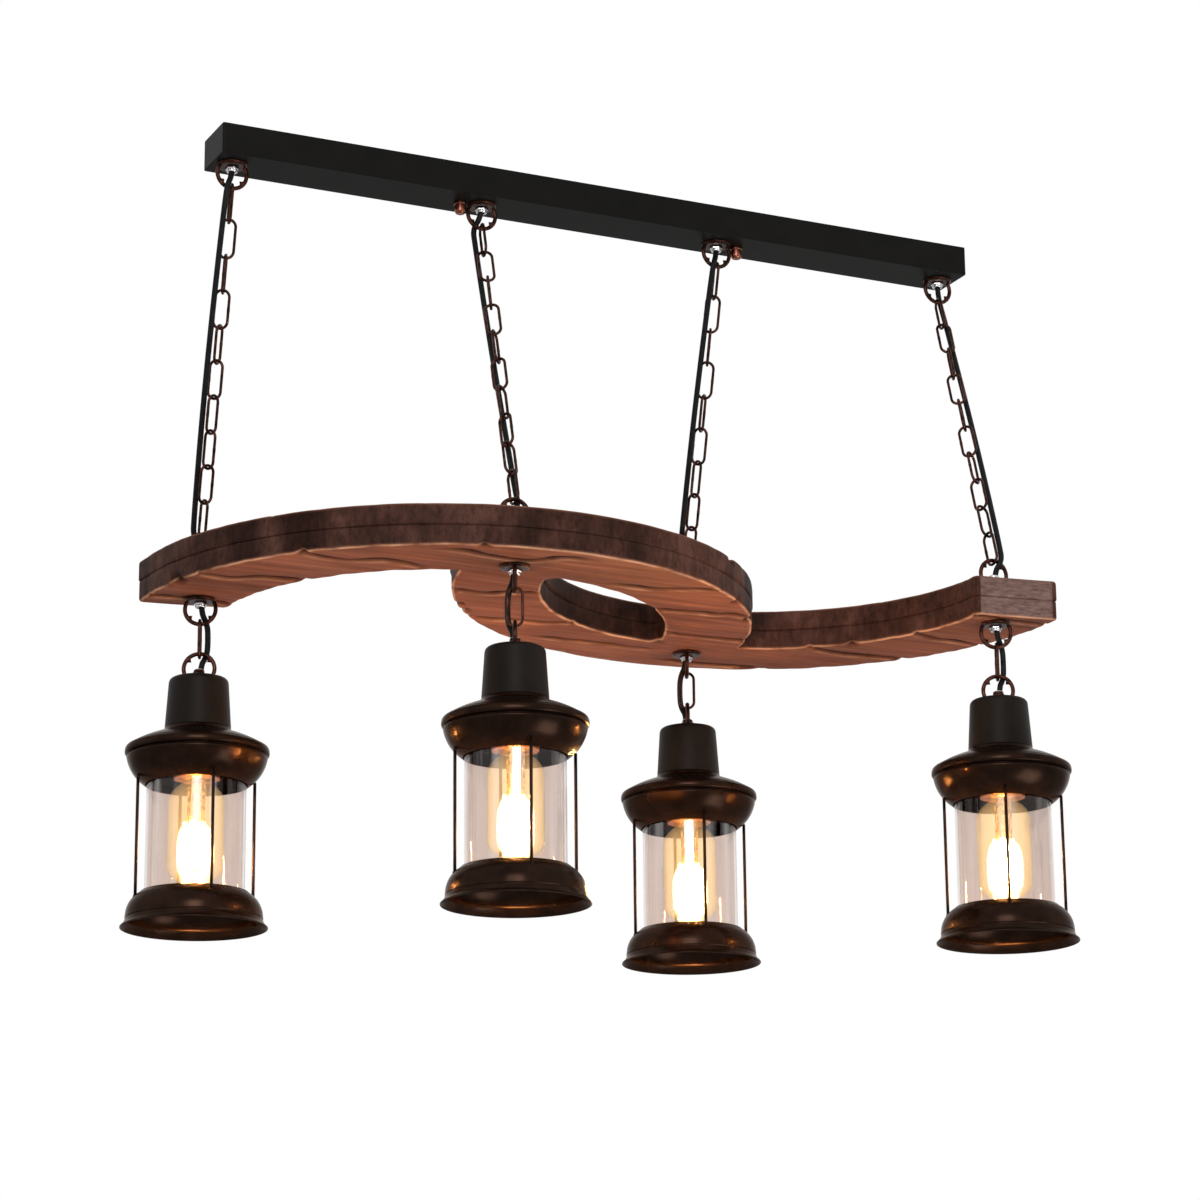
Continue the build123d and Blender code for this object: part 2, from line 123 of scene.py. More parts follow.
def lathe(profile, centre=(0, 0, 0), columns=96, closed=True):
    """A profile of (radius, height) turned about the vertical: x = r cos t, y = r sin t, z = h.
    A closed profile goes counterclockwise, so that its faces point outwards."""
    profile = np.asarray(profile, float)
    r, h = profile.T
    if closed and np.sum(r * np.roll(h, -1) - np.roll(r, -1) * h) < 0:
        r, h = r[::-1], h[::-1]
    t = np.linspace(0, 2 * np.pi, columns, endpoint=False)[None]
    points = np.stack([r[:, None] * np.cos(t), r[:, None] * np.sin(t), h[:, None] + 0 * t], -1)
    ends = not closed
    return grid(points + np.asarray(centre, float), closed, True, ends, ends)


def tube(path, radius, columns=12, closed=False):
    """A round section carried along a path. Its frame turns as little as it can: each normal is the
    one before it, less its part along the new direction. radius may differ from point to point."""
    path = np.asarray(path, float)
    ahead = np.roll(path, -1, 0) - np.roll(path, 1, 0)
    if not closed:
        ahead[0], ahead[-1] = path[1] - path[0], path[-1] - path[-2]
    ahead /= np.linalg.norm(ahead, axis=1)[:, None]
    off_every_axis = (0.31, 0.83, 0.46)
    normal = np.empty_like(path)
    normal[0] = unit(np.cross(ahead[0], off_every_axis))
    for step in range(1, len(path)):
        normal[step] = unit(normal[step - 1] - ahead[step] * (ahead[step] @ normal[step - 1]))
    side = np.cross(ahead, normal)
    t = np.linspace(0, 2 * np.pi, columns, endpoint=False)[None, :, None]
    size = np.broadcast_to(np.asarray(radius, float), len(path))[:, None, None]
    points = path[:, None] + size * (np.cos(t) * normal[:, None] + np.sin(t) * side[:, None])
    return grid(points, closed, True, not closed, not closed)


def moved(shape, x=(1, 0, 0), z=(0, 0, 1), place=(0, 0, 0)):
    """A shape set down with its own x and z axes along two given directions, at a place."""
    x, z = unit(x), unit(z)
    points, faces = shape
    return points @ np.stack([x, np.cross(z, x), z]) + np.asarray(place, float), faces


finish = {}  # the materials, by the slot or coat that they are for


def piece(name, shape, body, slot, nodes, coat=None, smooth=True, attributes=()):
    """One object from a shape in millimetres, which rides on a body and stands for CAD nodes. Its
    finish has the name of its slot, unless coat names another."""
    points, faces = shape
    mesh = bpy.data.meshes.new(name)
    mesh.from_pydata((points * MM).tolist(), [], faces)
    mesh.polygons.foreach_set("use_smooth", np.full(len(faces), smooth))
    for label, values in dict(attributes).items():
        values = np.asarray(values, np.float32)
        mesh.attributes.new(label, "FLOAT", "POINT").data.foreach_set("value", values)
    mesh.materials.append(finish[coat or slot])
    mesh.update()
    made = bpy.data.objects.new(name, mesh)
    bpy.context.scene.collection.objects.link(made)
    if body:
        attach(made, body)
    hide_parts(*nodes)
    return made


print("helpers: grid, lathe, tube, moved, piece")

# %% [markdown]
# ## Profiles with rounded corners
# Sheet metal has no razor edges. A profile is written as its corners, each with a rounding, and this
# cell swaps each corner for a short curve. A bevel modifier could do it too, but here the curve is
# part of the profile, so the lathe stays one clean grid.

# %% Profile helpers
def rounded(corners, steps=5, closed=True):
    """Corners (r, h, rounding) with each corner replaced by a quadratic curve that starts and ends a
    rounding's length from it: (1-t)^2 start + 2 t (1-t) corner + t^2 end."""
    corners = np.asarray(corners, float)
    here, size = corners[:, :2], corners[:, 2:]
    back, ahead = np.roll(here, 1, 0) - here, np.roll(here, -1, 0) - here
    if not closed:
        back[0], ahead[-1] = 0, 0
    reach = [np.maximum(np.linalg.norm(way, axis=1)[:, None], 1e-9) for way in (back, ahead)]
    start = here + back / reach[0] * np.minimum(size, 0.5 * reach[0])
    end = here + ahead / reach[1] * np.minimum(size, 0.5 * reach[1])
    t = np.linspace(0, 1, steps)[None, :, None]
    curve = (1 - t) ** 2 * start[:, None] + 2 * t * (1 - t) * here[:, None] + t**2 * end[:, None]
    points = curve.reshape(-1, 2)
    keep = np.linalg.norm(points - np.roll(points, 1, 0), axis=1) > 1e-4
    return points[keep]


def bow(start, end, height, steps=12):
    """Points from start to end along a parabola that stands height off the chord, to the left of
    travel: start + t chord + 4 height t (1-t) left."""
    start, end = np.asarray(start, float), np.asarray(end, float)
    t = np.linspace(0, 1, steps)[:, None]
    chord = end - start
    left = unit((-chord[1], chord[0]))
    return start + t * chord + 4 * height * t * (1 - t) * left


print("helpers: rounded, bow")

# %% [markdown]
# ## Finishes
# A finish is a small graph of shader nodes. Noise on Object coordinates breaks up the colour and
# drives a fine bump, so no surface is one flat tone. Values that are the same all over are set
# straight on the shader's sockets.

# %% Node helpers
def put(tree, socket, value):
    """Link a socket or set its value."""
    if isinstance(value, bpy.types.NodeSocket):
        tree.links.new(value, socket)
    else:
        socket.default_value = value


def node(tree, kind, inputs=(), **settings):
    """A new shader node with its settings and inputs."""
    made = tree.nodes.new("ShaderNode" + kind)
    for key, value in settings.items():
        setattr(made, key, value)
    for key, value in dict(inputs).items():
        put(tree, made.inputs[key], value)
    return made


def ramp(tree, factor, stops):
    """A colour ramp through (position, colour) stops; one number is a grey."""
    made = node(tree, "ValToRGB", {"Fac": factor})
    marks = made.color_ramp.elements
    while len(marks) < len(stops):
        marks.new(0.5)
    for mark, (position, colour) in zip(marks, stops):
        mark.position = position
        mark.color = (*np.broadcast_to(np.array(colour, float), 3), 1.0)
    return made.outputs["Color"]


def mixed(tree, factor, first, second, blend="MIX"):
    """Two colours mixed by a factor."""
    made = node(tree, "Mix", data_type="RGBA", blend_type=blend)
    colours = [socket for socket in made.inputs if socket.type == "RGBA"]
    put(tree, made.inputs["Factor"], factor)
    for socket, colour in zip(colours, (first, second)):
        put(tree, socket, colour if isinstance(colour, bpy.types.NodeSocket) else (*colour, 1.0))
    return next(socket for socket in made.outputs if socket.type == "RGBA")


def dimmed(tree, colour, mark, stops, share=1.0):
    """A colour multiplied by a ramp of a mark, by a share of its full effect."""
    return mixed(tree, share, colour, ramp(tree, mark, stops), "MULTIPLY")


def noise(tree, scale, stretch=(1, 1, 1), detail=4.0, rough=0.55):
    """Noise on Object coordinates, which stretch multiplies: a small number draws the noise out."""
    where = node(tree, "TexCoord").outputs["Object"]
    where = node(tree, "Mapping", {"Vector": where, "Scale": stretch}).outputs["Vector"]
    settings = {"Vector": where, "Scale": scale, "Detail": detail, "Roughness": rough}
    return node(tree, "TexNoise", settings).outputs["Fac"]


def new_finish(name, **sockets):
    """A material with a Principled shader whose plain sockets are set."""
    material = bpy.data.materials.new(name)
    material.use_nodes = True
    tree = material.node_tree
    shader = tree.nodes["Principled BSDF"]
    for key, value in sockets.items():
        put(tree, shader.inputs[key.replace("_", " ")], value)
    return material, tree, shader


def bumped(tree, shader, height, strength, distance):
    """A bump from a height socket onto the shader's normal."""
    made = node(tree, "Bump", {"Height": height, "Strength": strength, "Distance": distance})
    put(tree, shader.inputs["Normal"], made.outputs["Normal"])


def metal(name, dark, light, rough, metallic, grain=90.0, fine=700.0, bump=0.00006, **sockets):
    """A coated or plated metal: two tones mixed by noise, a roughness that varies, a fine bump."""
    material, tree, shader = new_finish(name, Metallic=metallic, **sockets)
    broad = noise(tree, grain, detail=5.0)
    put(tree, shader.inputs["Base Color"], ramp(tree, broad, [(0.32, dark), (0.68, light)]))
    speck = noise(tree, fine, detail=2.0)
    put(tree, shader.inputs["Roughness"], ramp(tree, speck, [(0.25, rough[0]), (0.75, rough[1])]))
    bumped(tree, shader, speck, 0.5, bump)
    return material


# %% Plain finishes
matte = {"Specular_IOR_Level": 0.08}
bronze_edge = {"Specular_Tint": (0.6, 0.55, 0.52, 1)}
# for each slot: name, dark tone, light tone, roughness from and to, metallic
tones = {
    "canopy_paint": (
        "satin_black_coat", (0.0055, 0.0052, 0.0047), (0.0075, 0.0071, 0.0064), (0.4, 0.5), 0.0
    ),
    "zinc": ("zinc_plate", (0.5, 0.5, 0.49), (0.56, 0.56, 0.545), (0.28, 0.42), 1.0),
    "bronze_chain": ("antique_copper", (0.009, 0.0045, 0.0036), (0.085, 0.03, 0.019), (0.26, 0.46), 0.85),
    "chrome": ("bright_chrome", (0.58, 0.58, 0.6), (0.7, 0.7, 0.72), (0.04, 0.1), 1.0),
    "copper": ("copper_plate", (0.17, 0.055, 0.035), (0.36, 0.13, 0.085), (0.2, 0.34), 1.0),
    "cap_black": ("matte_black_coat", (0.0075, 0.0052, 0.0038), (0.011, 0.008, 0.006), (0.42, 0.54), 0.0),
    "lantern_bronze": (
        "oil_rubbed_bronze", (0.0125, 0.0066, 0.0044), (0.024, 0.0118, 0.0076), (0.2, 0.3), 0.7
    ),
    "socket_brass": ("lampholder_copper", (0.42, 0.17, 0.075), (0.62, 0.3, 0.14), (0.2, 0.34), 1.0),
    "bulb_base": ("screw_shell_brass", (0.5, 0.34, 0.15), (0.72, 0.52, 0.26), (0.2, 0.35), 1.0),
    "cord": ("black_cord", (0.006, 0.006, 0.0065), (0.012, 0.012, 0.013), (0.38, 0.55), 0.0),
    "block": ("moulded_white", (0.72, 0.7, 0.64), (0.82, 0.8, 0.75), (0.4, 0.55), 0.0),
}
# where they differ from the usual: waves of tone and specks per metre, and gloss
special = {
    "canopy_paint": {"grain": 30, "fine": 1500, "Specular_IOR_Level": 0.05},
    "bronze_chain": {"grain": 160, **matte},
    "cap_black": {"grain": 40, "fine": 1500, **matte},
    "lantern_bronze": {"grain": 60, "fine": 1200, **bronze_edge, **matte},
    "cord": {"grain": 120, "fine": 1800, **matte},
}
for label, settings in tones.items():
    finish[label] = metal(*settings, **special.get(label, {}))
hidden = [("ceiling_bracket", "zinc"), ("bracket_studs", "zinc"), ("board_tubes", "zinc")]
for label, coat in [*hidden, ("terminal_block", "block")]:
    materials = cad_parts[label].data.materials
    materials.clear()
    materials.append(finish[coat])
print("finishes:", ", ".join(finish))

# %% [markdown]
# ## Places from the CAD model
# The hook places, the chain lines and the cord routes repeat the CAD source's own sums, in
# millimetres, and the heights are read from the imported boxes, so both models share them.

# %% Places
numbers = (1, 2, 3, 4)
low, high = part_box("board_upper_plank")
board_top, board_seam = high.z / MM, low.z / MM
board_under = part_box("board_lower_plank")[0].z / MM
canopy_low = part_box("canopy_cover")[0].z / MM
caps = [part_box(f"lantern_{n}_cap") for n in numbers]
cap_top = caps[0][1].z / MM
hooks = [((low.x + high.x) / 2 / MM, (low.y + high.y) / 2 / MM) for low, high in caps]
chain_lean = 16.0
canopy_hooks = [x + way * chain_lean for (x, _), way in zip(hooks, (-1, 1, -1, 1))]
ring_turn = (-25.0, 65.0, 65.0, -25.0)
ring_radius, ring_wire, ring_centre = 14.5, 4.0, 9.6
ring_reach = ring_radius + ring_centre
link_length, link_width, link_wire, link_count = 39.2, 16.5, 2.8, 10
running = 0.3
wire_gap = link_wire + running
hook_gap = (ring_wire + link_wire) / 2 + running
link_reach = link_length - link_wire
link_step = link_reach - wire_gap
chain_turns = 2.5
link_twist = chain_turns * 360.0 / (link_count + 1)


def chain_frame(index):
    """Start, direction and two side directions of a chain, from the canopy's ring to the board's."""
    start = np.array((canopy_hooks[index], 0, canopy_low - ring_reach))
    end = np.array((*hooks[index], board_top + ring_reach))
    along = unit(end - start)
    side = unit(np.array((1, 0, 0)) - along * along[0])
    return start, along, side, np.cross(side, along)


print("hooks:", [(round(x, 1), round(y, 1)) for x, y in hooks])

# %% [markdown]
# ## The cords
# A black cord leaves each gland under the canopy, winds a quarter turn round its chain and goes into
# the board; a short one goes on from the board into each lantern. A NURBS curve with the route's
# points as its controls gives a line with no kinks, and the tube follows points read from that curve.
# The cords ride on no body. Each short cord is cut in two at the middle of its link, between the two
# joints that it crosses.

# %% Cords
cord_diameter = 5.5
cord_offset = 0.46 * (link_width - link_wire + cord_diameter) + running
cord_side_angle, cord_slack = 45.0, 1.1
cord_sides = (180.0, 90.0, 180.0, 0.0)
cord_bend_height = 23.0
gland_height, flange_thick, cord_straight = 5.6, 2.8, 2.64
exit_run = gland_height + flange_thick + cord_straight
nut_room = 7.0
plank_thick = board_top - board_seam
cap_height = 46.0
lift = np.array((0, 0, 1.0))


def smooth_line(name, points):
    """Points along the NURBS curve that has a route's points as its control points."""
    curve = bpy.data.curves.new(name, "CURVE")
    curve.dimensions = "3D"
    spline = curve.splines.new("NURBS")
    spline.points.add(len(points) - 1)
    weighted = np.column_stack((np.asarray(points) * MM, np.ones(len(points))))
    spline.points.foreach_set("co", weighted.ravel())
    spline.order_u = 3
    spline.use_endpoint_u = True
    spline.resolution_u = 10
    holder = bpy.data.objects.new(name, curve)
    mesh = bpy.data.meshes.new_from_object(holder)
    line = np.empty(len(mesh.vertices) * 3)
    mesh.vertices.foreach_get("co", line)
    bpy.data.objects.remove(holder)
    bpy.data.meshes.remove(mesh)
    bpy.data.curves.remove(curve)
    return line.reshape(-1, 3) / MM


def across(angle):
    """A level unit vector at an angle in degrees."""
    return np.array((np.cos(np.radians(angle)), np.sin(np.radians(angle)), 0))


def power_route(index):
    """Out of the canopy's gland, once past each link on a slow spiral, and into the board's tube."""
    start, along, side, over = chain_frame(index)
    top = np.array((canopy_hooks[index], 0, canopy_low))
    foot = np.array((*hooks[index], board_top))
    begin, twist = cord_side_angle + cord_sides[index], link_twist - 90.0
    route = [top + lift * nut_room, top - lift * exit_run]
    route.append(top + across(begin) * cord_offset - lift * cord_bend_height)
    for number in range(link_count):
        turn = np.radians(begin + twist * (number + 1))
        middle = start + along * (number * link_step + link_reach / 2 - hook_gap)
        route.append(middle + (side * np.cos(turn) + over * np.sin(turn)) * cord_offset)
    route.append(foot + across(begin + twist * (link_count + 1)) * cord_offset + lift * cord_bend_height)
    return route + [foot + lift * exit_run, foot - lift * plank_thick]


def lantern_route(index):
    """Out of the board's tube, past the one link, and into the lantern's nipple."""
    beside = across(ring_turn[index] + cord_side_angle) * cord_offset
    under = np.array((*hooks[index], board_under))
    top = np.array((*hooks[index], cap_top))
    route = [under + lift * plank_thick, under - lift * exit_run]
    route.append(under + beside - lift * cord_bend_height)
    route.append((under + top) / 2 + beside * cord_slack)
    route.append(top + beside + lift * cord_bend_height)
    return route + [top + lift * exit_run, top - lift * cap_height]


def add_cord(name, line, node_name):
    """A cord's tube along a line, on no body, with its place baked into its mesh."""
    made = piece(name, tube(line, cord_diameter / 2), None, "cord", [node_name])
    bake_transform(made)


link_top = board_under - ring_reach
link_bottom = link_top + 2 * hook_gap - link_reach
link_middle = (link_top + link_bottom) / 2
for index, n in enumerate(numbers):
    line = smooth_line(f"power_line_{n}", power_route(index))
    add_cord(f"power_cord_{n}", line, "power_cords")
    line = smooth_line(f"lantern_line_{n}", lantern_route(index))
    half = int(np.argmin(np.abs(line[:, 2] - link_middle)))
    for part, cut, bodies, height in (
        ("upper", line[: half + 1], ("board", f"link_{n}"), link_top),
        ("lower", line[half:], (f"link_{n}", f"lantern_{n}"), link_bottom),
    ):
        add_cord(f"lantern_cord_{n}_{part}", cut, "lantern_cords")
    print("cords at hook", n, "lower ends at", np.round(line[-1], 1))

# %% [markdown]
# ## Rings, flanges and glands
# Each hook is a forged ring with two small inward teeth, on a round flange. In its middle sits a
# bright gland: a hexagon collar and a domed nose with the cord's hole. The ring is a torus grid whose
# section grows a tooth towards its centre at two angles, which a plain torus could not have.

# %% Hook shapes
def hook_shape():
    """A hanging ring hook, flange at height 0, ring along x: points (R + d) sin f, -c - (R + d) cos f,
    where the section offset d = w cos t - tooth(f) ((1 - cos t) / 2)^2 and y = w sin t."""
    opening = np.radians(128.0)
    f = np.linspace(-opening, opening, 121)[:, None]
    t = np.linspace(0, 2 * np.pi, 14, endpoint=False)[None]
    wire = ring_wire / 2
    tooth_height, tooth_angle, tooth_spread = 3.0, 50.0, 11.0
    from_tooth = np.abs(np.abs(np.degrees(f)) - tooth_angle) / tooth_spread
    tooth = tooth_height * np.maximum(0, 1 - from_tooth)
    inward = ((1 - np.cos(t)) / 2) ** 2
    offset = wire * np.cos(t) - tooth * inward
    aside = wire * np.sin(t) * (1 - 0.12 * tooth * inward)
    reach = ring_radius + offset
    points = np.stack([reach * np.sin(f), aside + 0 * f, -ring_centre - reach * np.cos(f)], -1)
    ring = grid(points[::-1], False, True, True, True)
    hole, rim = 5.2, 14.5
    flange = [(hole, 0, 0), (hole, -flange_thick, 0.3), (rim - 1.6, -flange_thick, 1.2)]
    flange += [(rim, -1.2, 0.9), (rim, 0, 0)]
    return joined(ring, lathe(rounded(flange), columns=64))


def gland_shape(stem=0.0):
    """A hanging gland under height 0: hexagon rows, then circles that close in to the cord's hole.
    A hexagon's radius is its apothem over the cosine of the angle from the nearest flat's middle."""
    t = np.linspace(0, 2 * np.pi, 72, endpoint=False)
    apothem, hole, stem_radius = 5.456, 2.95, 5.0
    flat = apothem / np.cos((t + np.pi / 6) % (np.pi / 3) - np.pi / 6)
    nose = [(5.2, -3.0, 0), (5.2, -gland_height, 2.2), (hole, -gland_height, 0.4), (hole, -3.5, 0)]
    hexagon = [(0.94, 0.0), (1.0, -0.4), (1.0, -2.6), (0.95, -3.0)]
    rings = [(flat * share, h) for share, h in hexagon] + [*rounded(nose, closed=False), (hole, stem)]
    if stem:
        rings += [(stem_radius, stem), (stem_radius, 0.0)]
    rows = [np.stack([r * np.cos(t), r * np.sin(t), h + 0 * t], -1) for r, h in rings]
    return grid(np.array(rows[::-1]), True, True)


hook, gland = hook_shape(), gland_shape()
up_axis, down_axis = (0, 0, 1), (0, 0, -1)
canopy_rings = [moved(hook, place=(x, 0, canopy_low)) for x in canopy_hooks]
piece("canopy_rings", joined(*canopy_rings), "canopy", "bronze_chain", ["canopy_loops"])
canopy_wall, nut_thick, stem_spare = 1.2, 3.0, 2.0
nut_top = canopy_wall + nut_thick
long_gland = gland_shape(flange_thick + nut_top + stem_spare)
canopy_noses = [moved(long_gland, place=(x, 0, canopy_low - flange_thick)) for x in canopy_hooks]
lock_rows = [(8.5, canopy_wall), (8.5, nut_top), (5.15, nut_top), (5.15, canopy_wall)]
lock_nut = lathe(lock_rows, columns=6)
canopy_noses += [moved(lock_nut, place=(x, 0, canopy_low)) for x in canopy_hooks]
piece("canopy_gland_noses", joined(*canopy_noses), "canopy", "chrome", ["canopy_glands"])
board_rings, board_noses = [], []
for (x, y), turn in zip(hooks, ring_turn):
    board_rings.append(moved(hook, z=down_axis, place=(x, y, board_top)))
    board_rings.append(moved(hook, across(turn), place=(x, y, board_under)))
    board_noses.append(moved(gland, z=down_axis, place=(x, y, board_top + flange_thick)))
    board_noses.append(moved(gland, place=(x, y, board_under - flange_thick)))
piece("board_rings", joined(*board_rings), "board", "bronze_chain", ["board_loops"])
piece("board_gland_noses", joined(*board_noses), "board", "chrome", ["board_glands"])
print("rings: 4 under the canopy, 8 on the board")

# %% [markdown]
# ## Chains
# A link is a round wire bent to a long oval and closed by a small weld. Its path is a stadium: two
# straights and two half circles, taken by length along it. Ten links follow each chain's line, each
# turned a little less than a quarter from the last, so the chain winds as the photograph shows.

# %% Links
def link_shape():
    """A link along z, its width along x: a stadium path by length s, with a wire that thickens at the
    weld and dips at its seam, r = w + 0.25 exp(-(s/1.6)^2) - 0.12 exp(-(s/0.6)^2), where s is the
    length from the middle of one straight."""
    bend = (link_width - link_wire) / 2
    straight = link_length - link_width
    around = np.pi * bend
    total = 2 * (straight + around)
    s = np.linspace(0, total, 84, endpoint=False)
    first, second = s - straight / 2, s - 1.5 * straight - around
    turn = np.clip(first / bend, 0, np.pi) + np.clip(second / bend, 0, np.pi)
    rise = np.clip(s, 0, straight / 2) - np.clip(first - around, 0, straight)
    rise += np.clip(second - around, 0, straight / 2)
    path = np.stack([bend * np.cos(turn), 0 * s, rise + bend * np.sin(turn)], -1)
    apart = np.minimum(s, total - s)
    wire = link_wire / 2 + 0.25 * np.exp(-((apart / 1.6) ** 2))
    return tube(path, wire - 0.12 * np.exp(-((apart / 0.6) ** 2)), 12, closed=True)


link = link_shape()
for index, n in enumerate(numbers):
    start, along, side, over = chain_frame(index)
    links = []
    for number in range(link_count):
        turn = np.radians((number + 1) * link_twist)
        middle = start + along * (number * link_step + link_reach / 2 - hook_gap)
        links.append(moved(link, side * np.cos(turn) + over * np.sin(turn), along, middle))
    piece(f"chain_{n}_links", joined(*links), "board", "bronze_chain", [f"chain_{n}"])
    single = moved(link, across(ring_turn[index] + 90), place=(*hooks[index], link_middle))
    piece(f"lantern_{n}_hanger", single, f"link_{n}", "bronze_chain", [f"lantern_{n}_link"])
print("links:", link_count * len(numbers) + len(numbers))

# %% [markdown]
# ## Canopy and its nuts
# The canopy is a shallow steel box with its open side to the ceiling. It is one profile carried round
# a rounded rectangle: up the outside, over the lip, down the inside. The cap nuts that hold it are
# turned parts.

# %% Canopy
def box_loop(half_x, half_y, corner, steps=7):
    """A rounded rectangle, counterclockwise: four quarter circles joined by straights."""
    t = np.linspace(0, np.pi / 2, steps)[None] + np.arange(4)[:, None] * np.pi / 2
    middle_x = (half_x - corner) * np.array((1, -1, -1, 1))[:, None]
    middle_y = (half_y - corner) * np.array((1, 1, -1, -1))[:, None]
    return np.stack([middle_x + corner * np.cos(t), middle_y + corner * np.sin(t)], -1).reshape(-1, 2)


half_x, half_y = (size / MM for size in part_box("canopy_cover")[1][:2])
depth, bottom_reach, canopy_corner = -canopy_low, 24.0, 2.0
bend_rows = [(bottom_reach, 0), (4.0, 0), (1.1, 0), (0.5, 0.16), (0.16, 0.5), (0, 1.1)]
lip_rows = [(0, depth - 0.3), (0.2, depth), (canopy_wall - 0.2, depth), (canopy_wall, depth - 0.3)]
inner_rows = [(canopy_wall, canopy_wall), (bottom_reach, canopy_wall)]
rows = []
for inset, rise in bend_rows + lip_rows + inner_rows:
    loop = box_loop(half_x - inset, half_y - inset, max(canopy_corner - inset, 0.4))
    rows.append(np.column_stack((loop, np.full(len(loop), canopy_low + rise))))
canopy_shape = grid(np.array(rows), False, True, True, True)
piece("canopy_box", canopy_shape, "canopy", "canopy_paint", ["canopy_cover"], smooth=False)

nut_rows = [(2.65, 0, 0), (6.25, 0, 0.3), (6.25, -3.0, 0.6), (5.5, -3.2, 0.2), (5.5, -12.5, 4.6)]
nut_rows += [(0.1, -12.5, 0), (0.1, -8.3, 0), (2.65, -8.3, 0)]
nut_shape = lathe(rounded(nut_rows, 8), columns=48)
for side in ("left", "right"):
    body = f"fixing_nut_{side}"
    low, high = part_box(body)
    place = ((low.x + high.x) / 2 / MM, 0, canopy_low)
    piece(f"cap_nut_{side}", moved(nut_shape, place=place), body, "copper", [body])
print("canopy and 2 cap nuts")

# %% [markdown]
# ## The board: outline
# The board is two half rings, one bulging to the front and one to the back, which overlap round a
# slot. Its edge is worked out as arcs: half of the loop is written down, and the other half is the
# same points turned by half a turn. Its corners are rational curves, which come close to circles.

# %% Board outline
arc_centre = np.array((115.2, -131.7))
arc_outer, arc_inner, end_round, tip_round = 306.6, 218.9, 6.0, 9.0
inner_reach, outer_reach = 4.0, 16.0
corner_weight, edge_spacing = 0.71, 2.0
end_skew = (outer_reach - inner_reach) / (arc_outer - arc_inner)


def arc(centre, radius, start, end):
    """Points along a circle between two angles in degrees, without the last."""
    count = max(2, int(abs(np.radians(end - start)) * radius / edge_spacing))
    t = np.radians(np.linspace(start, end, count, endpoint=False))
    return centre + radius * np.stack([np.cos(t), np.sin(t)], -1)


def corner_arc(before, corner, after, weight, steps=9):
    """A round corner: the weighted mean of three points with weights (1-t)^2, 2 w t (1-t), t^2."""
    t = np.linspace(0, 1, steps, endpoint=False)[:, None]
    share = np.concatenate([(1 - t) ** 2, 2 * weight * t * (1 - t), t**2], 1)
    return share @ np.array((before, corner, after)) / share.sum(1)[:, None]


def angle_of(vector):
    """A flat vector's angle in degrees."""
    return float(np.degrees(np.arctan2(vector[1], vector[0])))


def on_ring(radius, angle):
    """The flat point of the right half ring at a radius and an angle in degrees."""
    return arc_centre + radius * across(angle)[:2]


apart = 2 * np.linalg.norm(arc_centre)
toward = arc_centre / np.linalg.norm(arc_centre)
beside = np.array((-toward[1], toward[0]))
reach = (apart**2 + arc_outer**2 - arc_inner**2) / (2 * apart)
notch = -arc_centre + reach * toward + np.sqrt(arc_outer**2 - reach**2) * beside
tip = beside * np.sqrt(arc_inner**2 - (apart / 2) ** 2)
inner_past = -np.degrees(np.arcsin(inner_reach / arc_inner))
outer_past = -np.degrees(np.arcsin(outer_reach / arc_outer))
inner_from = inner_past + np.degrees(end_round / arc_inner)
outer_from = outer_past + np.degrees(end_round / arc_outer)
right_end, far_end = on_ring(arc_inner, inner_past), on_ring(arc_outer, outer_past)
inner_stop, outer_go = on_ring(arc_inner, inner_from), on_ring(arc_outer, outer_from)
edge_way = unit(far_end - right_end)
end_points = [right_end + end_round * edge_way, far_end - end_round * edge_way]
half_loop = [
    arc(-arc_centre, arc_outer, 180 + outer_from, 360 + angle_of(notch + arc_centre)),
    arc(arc_centre, arc_inner, angle_of(notch - arc_centre), inner_from),
    corner_arc(inner_stop, right_end, end_points[0], corner_weight),
    np.linspace(*end_points, 36, endpoint=False),
    corner_arc(end_points[1], far_end, outer_go, corner_weight),
]
# of these five parts, 3 is the board's sawn end, and 2 and 4 are that end's corners
end_mark = np.concatenate([np.full(len(part), float(k == 3)) for k, part in enumerate(half_loop)])
corner_mark = np.concatenate([np.full(len(part), k in (2, 4)) for k, part in enumerate(half_loop)])
half_loop = np.concatenate(half_loop)
outer_loop = np.concatenate([half_loop, -half_loop])
tip_half = np.arccos(apart / 2 / arc_inner)
slot_trim = np.degrees(tip_round / np.tan(tip_half) / arc_inner)
slot_from = angle_of(arc_centre - tip) + slot_trim
slot_to = angle_of(arc_centre + tip) - slot_trim
slot_side = arc(-arc_centre, arc_inner, slot_from, slot_to)
slot_tip = corner_arc(slot_side[-1], tip, -slot_side[0], np.sin(tip_half), 22)[1:]
slot_half = np.concatenate([slot_side, slot_tip])
slot_loop = np.concatenate([slot_half, -slot_half])[::-1]
loops = [outer_loop, slot_loop]
end_marks = [np.concatenate([end_mark, end_mark]), np.zeros(len(slot_loop))]
corner_places = outer_loop[np.concatenate([corner_mark, corner_mark])]
print("board edge:", len(outer_loop), "points outside,", len(slot_loop), "round the slot")
